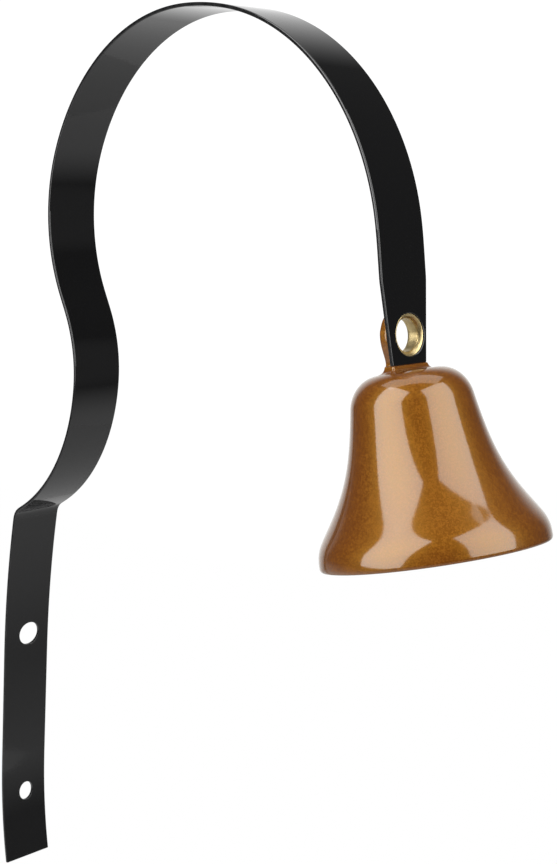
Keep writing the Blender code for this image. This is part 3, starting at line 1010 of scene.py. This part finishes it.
    def drill(self, bell: bpy.types.Object) -> None:
        """Drills the lug for the eyelet with a plain cylinder.

        Args:
            bell: The casting; its mesh is replaced.
        """
        end = self.hanging.eyelet()
        length, radius = self.lug_thickness * self.drill_reach, self.drill_radius
        middle = self.lug_back + self.lug_thickness / 2
        profile = np.array(((0.0, -length), (radius, -length), (radius, length), (0.0, length)))
        profile[:, 1] += middle
        cutter = make_piece("lug_drill", end.turned(profile, self.drill_sides, along_out=True))
        cut = bell.modifiers.new("drill", "BOOLEAN")
        cut.operation = "DIFFERENCE"
        cut.solver = "EXACT"
        cut.object = cutter
        evaluated = bell.evaluated_get(bpy.context.evaluated_depsgraph_get())
        drilled = bpy.data.meshes.new_from_object(evaluated)
        drilled.name = bell.name
        bell.modifiers.clear()
        bell.data = drilled
        bpy.data.objects.remove(cutter, do_unlink=True)

    def build_bosses(self) -> bpy.types.Object:
        """Makes the two low bosses of metal around the staple's legs, under the crown.

        Returns:
            Both bosses in one piece.
        """
        crown = self.hanging.crown()
        radius, low = self.boss_radius, -self.boss_height
        sunk = 0.5 * MM
        corners = (
            (0.0, sunk),
            (radius, sunk),
            (radius, 0.0),
            (0.78 * radius, 0.28 * low),
            (0.58 * radius, 0.78 * low),
            (0.0, low),
        )
        profile = cut_corners(np.array(corners), 2, closed=False)
        grids = []
        for side in (-1, 1):
            centre = crown.place(np.array((0.0, side * self.staple_half_spread, -self.crown_thickness)))
            grids.append(Placement(centre, crown.outward, crown.upward).turned(profile, self.boss_sides))
        return make_piece("staple_bosses", *grids, mark=Mark.INSIDE, value=1.0)


# ---------------------------------------------------------------- the eyelet


@dataclass(frozen=True)
class Eyelet:
    """The brass tubular rivet: a trumpet flange with a rolled rim, a barrel and a flange over the lug."""

    hanging: Hanging
    bore: float = 0.00485
    wall: float = 0.00045
    rim: float = 0.00620
    back_rim: float = 0.0062
    face: float = 0.00038
    back: float = -0.0045
    cone_depth: float = 0.0015
    sides: int = 128

    def section(self) -> np.ndarray:
        """The wall's closed outline: a soft curve along the corners of its cone, barrel and two rolls.

        Returns:
            (radius, outward) points, from the bore over the rim and back along the barrel.
        """
        bore, barrel = self.bore, self.bore + self.wall
        rim, back_rim = self.rim, self.back_rim
        face, back, cone = self.face, self.back, self.cone_depth
        corners = (
            (bore, face - cone * 1.25),
            (bore, face - cone * 0.95),
            (bore + 0.10 * MM, face - cone * 0.70),
            (bore + 0.52 * MM, face - cone * 0.32),
            (rim - 0.44 * MM, face - 0.16 * MM),
            (rim - 0.22 * MM, face - 0.02 * MM),
            (rim - 0.04 * MM, face - 0.03 * MM),
            (rim, face - 0.16 * MM),
            (rim - 0.12 * MM, face - 0.36 * MM),
            (barrel + 0.22 * MM, face - cone * 0.75),
            (barrel, face - cone * 1.1),
            (barrel, back + 0.25 * MM),
            (barrel + 0.12 * MM, back),
            (back_rim - 0.25 * MM, back + 0.02 * MM),
            (back_rim, back - 0.12 * MM),
            (back_rim - 0.06 * MM, back - 0.36 * MM),
            (back_rim - 0.42 * MM, back - 0.50 * MM),
            (bore + 0.62 * MM, back - 0.42 * MM),
            (bore + 0.20 * MM, back - 0.02 * MM),
            (bore + 0.03 * MM, back + 0.45 * MM),
            (bore, back + 0.95 * MM),
        )
        return cut_corners(np.array(corners), 3)

    def build(self) -> bpy.types.Object:
        """Makes the eyelet by carrying its section once round its axis.

        Returns:
            The eyelet.
        """
        section = self.section()
        closed = np.concatenate((section, section[:1]))
        return make_piece("brass_eyelet", self.hanging.eyelet().turned(closed, self.sides, along_out=True))


# ---------------------------------------------------------------- the clapper and its hanger


@dataclass(frozen=True)
class Wire:
    """A round wire along a flat path, with softly rounded ends or closed on itself."""

    radius: float
    sides: int = 28
    end_rings: int = 6
    end_reach: float = 0.35

    def grid(self, path: np.ndarray, normal: np.ndarray, closed: bool = False) -> np.ndarray:
        """Rings round the path: each is a circle in the plane of the path's normal and its sideways way.

        Args:
            path: The wire's middle line, in an array of points by 3.
            normal: The unit normal of the path's plane.
            closed: Joins the last ring to the first.

        Returns:
            A grid of rings by sides, closed at its ends by shrinking rings.
        """
        if closed:
            ahead = np.roll(path, -1, axis=0) - np.roll(path, 1, axis=0)
        else:
            ahead = np.gradient(path, axis=0)
        ahead /= np.linalg.norm(ahead, axis=1, keepdims=True)
        size = np.full(len(path), self.radius)
        if closed:
            path, ahead, size = (np.concatenate((part, part[:1])) for part in (path, ahead, size))
        else:
            turn = np.linspace(0.0, math.pi / 2, self.end_rings)
            small = self.radius * np.sin(turn)
            reach = self.end_reach * self.radius * np.cos(turn)[:, None]
            first, last = path[0] - ahead[0] * reach, path[-1] + ahead[-1] * reach[::-1]
            path = np.concatenate((first, path[1:-1], last))
            ends = [np.repeat(end, self.end_rings, axis=0) for end in (ahead[:1], ahead[-1:])]
            ahead = np.concatenate((ends[0], ahead[1:-1], ends[1]))
            size = np.concatenate((small, size[1:-1], small[::-1]))
        sideways = np.cross(ahead, normal)
        ring = circle_directions(self.sides)
        spread = ring[:, 0, None] * sideways[:, None] + ring[:, 1, None] * normal
        return path[:, None] + size[:, None, None] * spread


def arc(
    centre: np.ndarray, radius: float, first: float, last: float, count: int, plane: tuple
) -> np.ndarray:
    """Points of an arc between two angles in degrees; plane gives its two unit directions."""
    angle = np.radians(np.linspace(first, last, count))[:, None]
    return centre + radius * (np.cos(angle) * plane[0] + np.sin(angle) * plane[1])


def straight(first: np.ndarray, last: np.ndarray, count: int) -> np.ndarray:
    """Evenly spaced points from first up to, and without, last."""
    share = np.linspace(0.0, 1.0, count, endpoint=False)[:, None]
    return first + (last - first) * share


@dataclass(frozen=True)
class Clapper:
    """The staple under the crown, the loose link, and the striker on its wire."""

    bell: BellCasting
    staple_wire: float = 0.0010
    staple_drop: float = 0.0060
    staple_root: float = 0.0018
    link_wire: float = 0.0008
    link_half_width: float = 0.0032
    link_length: float = 0.0110
    rod_wire: float = 0.0010
    eye_radius: float = 0.0026
    eye_crank: float = 0.0013
    crank_below_eye: float = 0.0065
    eye_last_angle: float = 200.0
    clearance: float = 0.0003
    ball_radius: float = 0.0065
    ball_below_crown: float = 0.0431
    ball_sides: int = 96
    ridge_height: float = 0.006
    ridge_width: float = 0.018
    rod_into_ball: float = 0.0050
    hole_size: float = 1.04

    @property
    def crown(self) -> Placement:
        """The middle of the bell's crown."""
        return self.bell.hanging.crown()

    def staple_bottom(self) -> np.ndarray:
        """The middle of the staple's bend."""
        return self.crown.origin - self.crown.upward * (self.bell.crown_thickness + self.staple_drop)

    def link_top(self) -> np.ndarray:
        """The link's uppermost middle point, resting on the staple."""
        return self.staple_bottom() + UP * (self.staple_wire + self.link_wire + self.clearance)

    def eye_centre(self) -> np.ndarray:
        """The centre of the clapper's eye, which hangs on the link's lower bend."""
        top = self.link_top() + UP * (self.link_wire + self.rod_wire + self.clearance - self.link_length)
        return top - UP * self.eye_radius

    def ball_centre(self) -> np.ndarray:
        """The striker's centre."""
        return np.array((self.eye_centre()[0], 0.0, self.crown.origin[2] - self.ball_below_crown))

    def build_staple(self) -> bpy.types.Object:
        """Makes the wire loop: a leg sunk in the crown, a half circle and the other leg.

        Returns:
            The staple.
        """
        crown, spread = self.crown, self.bell.staple_half_spread
        bend = self.staple_bottom() + crown.upward * spread
        root = crown.origin - crown.upward * (self.bell.crown_thickness - self.staple_root)
        sides = (ACROSS * spread, -ACROSS * spread)
        right, left = (straight(root + side, bend + side, 10) for side in sides)
        loop = arc(bend, spread, 0.0, 180.0, 40, (ACROSS, -crown.upward))
        path = np.concatenate((right, loop, left[::-1]))
        return make_piece("crown_staple", Wire(self.staple_wire).grid(path, crown.outward))

    def build_link(self) -> bpy.types.Object:
        """Makes the oval link: two half circles joined by straight sides.

        Returns:
            The link.
        """
        width = self.link_half_width
        upper = self.link_top() - UP * width
        lower = upper - UP * (self.link_length - 2 * width)
        path = np.concatenate(
            (
                arc(upper, width, 0.0, 180.0, 36, (OUT, UP)),
                straight(upper - OUT * width, lower - OUT * width, 10)[1:],
                arc(lower, width, 180.0, 360.0, 36, (OUT, UP)),
                straight(lower + OUT * width, upper + OUT * width, 10)[1:],
            )
        )
        return make_piece("oval_link", Wire(self.link_wire).grid(path, ACROSS, closed=True))

    def build_rod(self) -> bpy.types.Object:
        """Makes the wire shank: straight from the ball, eased sideways, then turned into an open eye.

        Returns:
            The clapper's wire.
        """
        crank, eye = self.eye_crank, self.eye_centre()
        neck = eye - UP * (self.eye_radius + crank)
        foot = self.ball_centre() - UP * (self.rod_into_ball - self.ball_radius)
        low = neck - UP * self.crank_below_eye
        share = np.linspace(0.0, 1.0, 18)[1:-1, None]
        ease = share * share * (3 - 2 * share)
        bend = low + (neck - UP * crank * 0.6 - low) * share - ACROSS * crank * ease
        path = np.concatenate(
            (
                straight(foot, low, 24),
                low[None],
                bend,
                arc(neck, crank, 180.0, 90.0, 10, (ACROSS, UP))[:-1],
                arc(eye, self.eye_radius, -90.0, self.eye_last_angle, 56, (ACROSS, UP)),
            )
        )
        return make_piece("clapper_wire", Wire(self.rod_wire).grid(path, OUT))

    def build_ball(self) -> bpy.types.Object:
        """Makes the cast striker: a sphere with a faint parting ridge and a hole for the wire.

        Returns:
            The ball.
        """
        hole = self.rod_wire * self.hole_size
        angle = np.linspace(math.asin(1.5 * hole / self.ball_radius), math.pi, 84)
        from_middle = (angle - math.pi / 2) / self.ridge_width
        radius = self.ball_radius * (1 + self.ridge_height * np.exp(-(from_middle**2)))
        ball = np.stack((radius * np.sin(angle), radius * np.cos(angle)), axis=-1)
        top = ball[0, 1]
        throat = np.array(((0.0, top - 0.9 * MM), (hole, top - 0.9 * MM), (hole, top - 0.35 * MM)))
        at = Placement(self.ball_centre(), OUT, UP)
        return make_piece("striker_ball", at.turned(np.concatenate((throat, ball)), self.ball_sides))


# ---------------------------------------------------------------- finishes


class NodeTree:
    """Adds and joins the shader nodes of a material or of the surroundings."""

    def __init__(self, owner: bpy.types.Material | bpy.types.World) -> None:
        """Starts on a node tree.

        Args:
            owner: The material or the world whose tree it is.
        """
        owner.use_nodes = True
        self.owner = owner
        self.tree = owner.node_tree

    def feed(self, value: Value, socket: bpy.types.NodeSocket) -> None:
        """Gives a socket its value.

        Args:
            value: A number, a colour of three parts, a direction, or another node's output to link.
            socket: The input that takes it.
        """
        if isinstance(value, bpy.types.NodeSocket):
            self.tree.links.new(value, socket)
        elif socket.type == "RGBA":
            socket.default_value = (*value, 1.0)
        else:
            socket.default_value = value

    def add(
        self, kind: str, output: str | int, inputs: dict[str | int, Value] | None = None, **options: str
    ) -> bpy.types.NodeSocket:
        """Adds a node.

        Args:
            kind: Its type, without the usual prefix.
            output: Which of its outputs is wanted.
            inputs: What each input is set or linked to.
            options: Its other settings.

        Returns:
            The wanted output.
        """
        node = self.tree.nodes.new("ShaderNode" + kind)
        for name, option in options.items():
            setattr(node, name, option)
        for name, value in (inputs or {}).items():
            self.feed(value, node.inputs[name])
        return node.outputs[output]

    def spread(
        self, source: Value, low: float, high: float, to_low: float, to_high: float, smooth: bool = False
    ) -> bpy.types.NodeSocket:
        """Maps a range of a value onto another range, held at its ends, and eased at them if smooth."""
        ends = {"Value": source, "From Min": low, "From Max": high, "To Min": to_low, "To Max": to_high}
        return self.add("MapRange", "Result", ends, interpolation_type="SMOOTHSTEP" if smooth else "LINEAR")

    def times(self, first: Value, second: Value) -> bpy.types.NodeSocket:
        """The product of two values."""
        return self.add("Math", 0, {0: first, 1: second}, operation="MULTIPLY")

    def greater(self, first: Value, second: Value) -> bpy.types.NodeSocket:
        """The greater of two values."""
        return self.add("Math", 0, {0: first, 1: second}, operation="MAXIMUM")


class Finish(NodeTree):
    """One material with a Principled shader, its patterns laid out in the piece's own coordinates."""

    def __init__(self, name: str) -> None:
        """Starts the material."""
        super().__init__(bpy.data.materials.new(name))
        self.place = self.add("TexCoord", "Object")

    def noise(self, scale: float, detail: float = 2.0, roughness: float = 0.5) -> bpy.types.NodeSocket:
        """A noise pattern with cells of about one over scale metres."""
        sizes = {"Vector": self.place, "Scale": scale, "Detail": detail, "Roughness": roughness}
        return self.add("TexNoise", "Fac", sizes)

    def flakes(self, scale: float) -> bpy.types.NodeSocket:
        """One random grey value for each small cell."""
        cells = self.add("TexVoronoi", "Color", {"Vector": self.place, "Scale": scale})
        return self.add("SeparateColor", 0, {0: cells})

    def attribute(self, mark: Mark) -> bpy.types.NodeSocket:
        """The piece's own marked value."""
        return self.add("Attribute", "Fac", attribute_name=mark.value)

    def mix(self, share: Value, first: Value, second: Value) -> bpy.types.NodeSocket:
        """A blend from one colour to another."""
        return self.add("Mix", "Result", {"Factor": share, "A": first, "B": second}, data_type="RGBA")

    def bump(
        self, height: Value, depth: float, after: bpy.types.NodeSocket | None = None
    ) -> bpy.types.NodeSocket:
        """A normal tilted by a height pattern of the given depth in metres, on top of another if given."""
        before = {} if after is None else {"Normal": after}
        return self.add("Bump", "Normal", {"Strength": 1.0, "Distance": depth, "Height": height, **before})

    def finished(self, **values: Value) -> bpy.types.Material:
        """Sets the shader's inputs.

        Args:
            values: What each input is set or linked to; an underscore in a name stands for a space.

        Returns:
            The material.
        """
        shader = self.tree.nodes["Principled BSDF"]
        for name, value in values.items():
            self.feed(value, shader.inputs[name.replace("_", " ")])
        return self.owner


@dataclass(frozen=True)
class StrapEnamel:
    """Gloss black stove enamel on rolled steel: a faint orange peel, fine dust, and thin on the edges."""

    colour: Colour = (0.0036, 0.0036, 0.0038)
    dust: Colour = (0.0085, 0.0085, 0.0088)
    thin: Colour = (0.016, 0.016, 0.0165)
    roughness: float = 0.5
    roughness_play: float = 0.05
    coat_roughness: float = 0.05
    cloud_scale: float = 70.0
    dust_scale: float = 2600.0
    wear_scale: float = 380.0
    peel_scale: float = 420.0
    peel_depth: float = 0.0000022
    wave_scale: float = 60.0
    wave_depth: float = 0.000006

    def material(self) -> bpy.types.Material:
        """Builds the finish.

        Returns:
            The material.
        """
        finish = Finish("black_enamel")
        cloud = finish.noise(self.cloud_scale, 3.0)
        speck = finish.spread(finish.noise(self.dust_scale), 0.66, 0.78, 0.0, 0.8)
        wear = finish.spread(finish.noise(self.wear_scale, 3.0), 0.35, 0.75, 0.1, 0.9)
        edge = finish.times(finish.attribute(Mark.EDGE), wear)
        wave = finish.bump(finish.noise(self.wave_scale, 1.0), self.wave_depth)
        peel = finish.bump(finish.noise(self.peel_scale), self.peel_depth, wave)
        low, high = self.roughness - self.roughness_play, self.roughness + self.roughness_play
        return finish.finished(
            Base_Color=finish.mix(edge, finish.mix(speck, self.colour, self.dust), self.thin),
            Roughness=finish.spread(cloud, 0.3, 0.7, low, high),
            Normal=peel,
            Coat_Weight=1.0,
            Coat_Roughness=self.coat_roughness,
            Coat_Normal=peel,
            Specular_IOR_Level=0.0,
        )


@dataclass(frozen=True)
class BellPaint:
    """Bronze metallic paint under clear lacquer: fine flakes, an orange peel and a duller inside."""

    colour: Colour = (0.118, 0.0270, 0.0014)
    light: Colour = (0.200, 0.0560, 0.0050)
    inside: Colour = (0.092, 0.0290, 0.0024)
    glint: Colour = (0.47, 0.56, 0.06)
    roughness: float = 0.42
    metallic: float = 0.35
    coat_roughness: float = 0.09
    flake_scale: float = 2600.0
    flake_depth: float = 0.000005
    cloud_scale: float = 90.0
    peel_scale: float = 520.0
    peel_depth: float = 0.000006
    wave_scale: float = 110.0
    wave_depth: float = 0.00001

    def material(self) -> bpy.types.Material:
        """Builds the finish.

        Returns:
            The material.
        """
        finish = Finish("bronze_paint")
        flake = finish.flakes(self.flake_scale)
        bright = finish.spread(flake, 0.3, 1.0, 0.0, 0.7)
        cloud = finish.spread(finish.noise(self.cloud_scale, 3.0), 0.3, 0.7, 0.75, 1.0)
        ground = finish.mix(finish.times(bright, cloud), self.colour, self.light)
        wave = finish.bump(finish.noise(self.wave_scale), self.wave_depth)
        return finish.finished(
            Base_Color=finish.mix(finish.attribute(Mark.INSIDE), ground, self.inside),
            Roughness=finish.spread(flake, 0.0, 1.0, self.roughness - 0.08, self.roughness + 0.10),
            Metallic=self.metallic,
            Specular_IOR_Level=1.0,
            Specular_Tint=self.glint,
            Normal=finish.bump(flake, self.flake_depth),
            Coat_Weight=1.0,
            Coat_Roughness=self.coat_roughness,
            Coat_Normal=finish.bump(finish.noise(self.peel_scale), self.peel_depth, wave),
        )


@dataclass(frozen=True)
class Brass:
    """Bright rolled brass with drawing marks round the bore and a little tarnish."""

    colour: Colour = (0.50, 0.395, 0.20)
    tarnish: Colour = (0.31, 0.23, 0.10)
    tarnish_scale: float = 420.0
    mark_scale: float = 2400.0
    mark_depth: float = 0.000001

    def material(self) -> bpy.types.Material:
        """Builds the finish.

        Returns:
            The material.
        """
        finish = Finish("bright_brass")
        cloud = finish.spread(finish.noise(self.tarnish_scale, 4.0), 0.42, 0.72, 0.0, 0.7)
        marks = finish.noise(self.mark_scale, 3.0)
        return finish.finished(
            Base_Color=finish.mix(cloud, self.colour, self.tarnish),
            Roughness=finish.spread(marks, 0.3, 0.7, 0.30, 0.42),
            Metallic=1.0,
            Normal=finish.bump(marks, self.mark_depth),
        )


@dataclass(frozen=True)
class DrawnSteel:
    """Plain drawn steel wire, slightly grey with fine marks."""

    colour: Colour = (0.56, 0.55, 0.53)
    dull: Colour = (0.33, 0.32, 0.30)
    dull_scale: float = 700.0
    mark_scale: float = 3000.0
    mark_depth: float = 0.000003

    def material(self) -> bpy.types.Material:
        """Builds the finish.

        Returns:
            The material.
        """
        finish = Finish("drawn_steel")
        cloud = finish.noise(self.dull_scale, 4.0)
        return finish.finished(
            Base_Color=finish.mix(finish.spread(cloud, 0.4, 0.7, 0.0, 0.8), self.colour, self.dull),
            Roughness=finish.spread(cloud, 0.3, 0.7, 0.24, 0.42),
            Metallic=1.0,
            Normal=finish.bump(finish.noise(self.mark_scale), self.mark_depth),
        )


@dataclass(frozen=True)
class CastIron:
    """Dull cast iron with a pitted, grainy skin."""

    colour: Colour = (0.20, 0.19, 0.18)
    dark: Colour = (0.09, 0.083, 0.078)
    cloud_scale: float = 500.0
    grain_scale: float = 1800.0
    grain_depth: float = 0.00003

    def material(self) -> bpy.types.Material:
        """Builds the finish.

        Returns:
            The material.
        """
        finish = Finish("cast_iron")
        cloud = finish.noise(self.cloud_scale, 5.0, 0.6)
        grain = finish.noise(self.grain_scale, 4.0, 0.65)
        return finish.finished(
            Base_Color=finish.mix(finish.spread(cloud, 0.35, 0.7, 0.0, 1.0), self.colour, self.dark),
            Roughness=finish.spread(grain, 0.3, 0.7, 0.42, 0.62),
            Metallic=0.9,
            Normal=finish.bump(grain, self.grain_depth),
        )


# ---------------------------------------------------------------- studio


def heading_vector(azimuth: float, elevation: float) -> np.ndarray:
    """The unit vector towards an azimuth and elevation in degrees; azimuth 0 is -Y and 90 is +X."""
    a, e = math.radians(azimuth), math.radians(elevation)
    return np.array((math.sin(a) * math.cos(e), -math.cos(a) * math.cos(e), math.sin(e)))


def level_vector(azimuth: float) -> np.ndarray:
    """The level unit vector to the right of someone who looks at the part from an azimuth in degrees."""
    a = math.radians(azimuth)
    return np.array((math.cos(a), math.sin(a), 0.0))


def stand(place: np.ndarray, back: np.ndarray, right: np.ndarray) -> Matrix:
    """A light's or a camera's placement.

    Args:
        place: Where it stands.
        back: The unit vector that it looks away from.
        right: The way that its own right side points, as nearly as may be.

    Returns:
        The world matrix, its axes squared to each other.
    """
    side = right - back * (right @ back)
    side /= np.linalg.norm(side)
    turn = np.eye(4)
    turn[:3] = np.stack((side, np.cross(back, side), back, place), axis=-1)
    return Matrix(turn.tolist())


@dataclass(frozen=True)
class Softbox:
    """A rectangular soft light that faces the part: the way to it, its distance, size, brightness, turn."""

    name: str
    azimuth: float
    elevation: float
    distance: float
    width: float
    height: float
    brightness: float
    turn: float = 0.0

    def build(self, target: np.ndarray) -> None:
        """Hangs the light; its power is its brightness times its area times pi.

        Args:
            target: The point that it faces.
        """
        data = bpy.data.lights.new(self.name, "AREA")
        data.shape = "RECTANGLE"
        data.size, data.size_y = self.width, self.height
        data.energy = self.brightness * self.width * self.height * math.pi
        item = bpy.data.objects.new(self.name, data)
        bpy.context.scene.collection.objects.link(item)
        back = heading_vector(self.azimuth, self.elevation)
        right = level_vector(self.azimuth + self.turn)
        item.matrix_world = stand(target + back * self.distance, back, right)
        item.visible_camera = False


@dataclass(frozen=True)
class Camera:
    """The view: where the camera stands, which way it looks and its lens."""

    place: tuple[float, float, float] = (0.45159, -0.33414, 0.24125)
    azimuth: float = 43.87
    elevation: float = 12.42
    roll: float = -3.40
    lens: float = 62.504
    sensor: float = 36.0

    def build(self) -> None:
        """Makes the scene's camera."""
        data = bpy.data.cameras.new("camera")
        data.sensor_width, data.lens = self.sensor, self.lens
        data.clip_start, data.clip_end = 0.01, 50.0
        item = bpy.data.objects.new("camera", data)
        bpy.context.scene.collection.objects.link(item)
        back, level = heading_vector(self.azimuth, self.elevation), level_vector(self.azimuth)
        roll = math.radians(self.roll)
        right = level * math.cos(roll) - np.cross(back, level) * math.sin(roll)
        item.matrix_world = stand(np.array(self.place), back, right)
        bpy.context.scene.camera = item


@dataclass(frozen=True)
class Glow:
    """A soft round glow in the surroundings, at full brightness to one angle and gone at another."""

    azimuth: float
    elevation: float
    full: float
    none: float
    brightness: float


@dataclass(frozen=True)
class Studio:
    """Two tall softboxes beside the camera, a wide light overhead, a sweep behind and a pale floor."""

    target: tuple[float, float, float] = (0.16, 0.0, 0.14)
    lights: tuple[Softbox, ...] = (
        Softbox("left_softbox", -13.0, 23.0, 1.30, 1.20, 1.80, 5.6),
        Softbox("right_softbox", 97.0, 32.5, 1.30, 1.26, 1.64, 4.7),
        Softbox("overhead_softbox", -94.4, 78.9, 1.53, 2.13, 0.96, 2.1, -41.6),
    )
    sweep: Glow = Glow(-136.0, 3.0, 0.0, 52.0, 1.08)
    spill: Glow = Glow(112.0, 0.0, 18.0, 30.0, 0.19)
    table_brightness: float = 0.76
    table_angles: tuple[float, float] = (-9.0, -34.0)
    shade: float = 0.07
    floor_depth: float = 0.24
    floor_radius: float = 0.50
    floor_colour: float = 0.46
    floor_sides: int = 72

    def build_world(self) -> None:
        """Makes the surroundings: plain white to look at; in reflections a sweep, a spill, a table, shade.

        Each is a brightness that depends on the way looked: on its height for the table, and on its angle
        from the middle of a glow. The brightest one counts.
        """
        bpy.context.scene.world = bpy.data.worlds.new("studio")
        nodes = NodeTree(bpy.context.scene.world)
        way = nodes.add("TexCoord", "Generated")
        high, low = (math.sin(math.radians(angle)) for angle in self.table_angles)
        height = nodes.add("SeparateXYZ", "Z", {0: way})
        table = nodes.spread(height, high, low, 0.0, self.table_brightness, smooth=True)
        total = nodes.greater(table, self.shade)
        for glow in (self.sweep, self.spill):
            middle = heading_vector(glow.azimuth, glow.elevation)
            near = nodes.add("VectorMath", "Value", {0: way, 1: middle}, operation="DOT_PRODUCT")
            none, full = (math.cos(math.radians(angle)) for angle in (glow.none, glow.full))
            total = nodes.greater(nodes.spread(near, none, full, 0.0, glow.brightness, smooth=True), total)
        seen = nodes.greater(nodes.add("LightPath", "Is Camera Ray"), total)
        nodes.feed(seen, nodes.tree.nodes["Background"].inputs["Color"])

    def build_floor(self) -> None:
        """Lays the pale floor below the part, as a disc of rings that looks plain white to the camera."""
        profile = np.stack((np.linspace(0.0, self.floor_radius, 12), np.zeros(12)), axis=-1)
        place = np.array((self.target[0], 0.0, CAD_BOX[0][2] - self.floor_depth))
        floor = make_piece("floor", Placement(place, OUT, UP).turned(profile, self.floor_sides))
        finish = Finish("pale_floor")
        colours = ((self.floor_colour + more,) * 3 for more in (0.0, 0.01))
        material = finish.finished(
            Base_Color=finish.mix(finish.noise(1.5), *colours),
            Roughness=0.9,
            Specular_IOR_Level=0.2,
            Emission_Strength=finish.add("LightPath", "Is Camera Ray"),
            Emission_Color=(1.0, 1.0, 1.0),
        )
        floor.data.materials.append(material)

    def build(self) -> None:
        """Sets up the world, the lights and the floor."""
        self.build_world()
        for light in self.lights:
            light.build(np.array(self.target))
        self.build_floor()
        bpy.context.scene.view_settings.view_transform = "Standard"


# ---------------------------------------------------------------- putting it together


def dress(
    item: bpy.types.Object, material: bpy.types.Material, slot: Slot, body: Body, *stands_for: str
) -> None:
    """Gives a piece its finish, its body and the model nodes that it stands for, and reports it.

    Args:
        item: The piece.
        material: Its finish.
        slot: The record's slot for that finish; not used.
        body: The body it rides on.
        stands_for: Names of the model's nodes that it replaces.
    """
    item.data.materials.clear()
    item.data.materials.append(material)
    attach(item, body.value)
    if stands_for:
        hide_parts(*stands_for)
    LOG.info("%s: %d faces on %s", item.name, len(item.data.polygons), body.value)


def main() -> None:
    """Builds the strap, the bell, the eyelet, the clapper and the studio, in that order."""
    logging.basicConfig(level=logging.INFO, format="%(name)s %(message)s")
    line = StrapLine()
    hanging = Hanging(line)
    strap = SpringStrap(line)
    steel = DrawnSteel().material()
    paint = BellPaint().material()

    piece = strap.build()
    piece.data.materials.append(StrapEnamel().material())
    strap.mount(piece)
    LOG.info("%s: %d faces", piece.name, len(piece.data.polygons))

    bell = BellCasting(hanging)
    dress(bell.build(), paint, Slot.BELL_PAINT, Body.ARCH, "bell_shell")
    dress(bell.build_bosses(), paint, Slot.BELL_PAINT, Body.ARCH)
    dress(Eyelet(hanging).build(), Brass().material(), Slot.EYELET_BRASS, Body.ARCH, "eyelet")

    clapper = Clapper(bell)
    dress(clapper.build_staple(), steel, Slot.HANGER_STEEL, Body.ARCH, "clapper_staple")
    dress(clapper.build_link(), steel, Slot.HANGER_STEEL, Body.LINK, "hanger_link")
    dress(clapper.build_rod(), steel, Slot.HANGER_STEEL, Body.CLAPPER, "clapper_rod")
    dress(clapper.build_ball(), CastIron().material(), Slot.CLAPPER_IRON, Body.CLAPPER, "clapper_ball")

    Studio().build()
    Camera().build()


if __name__ == "__main__":
    main()
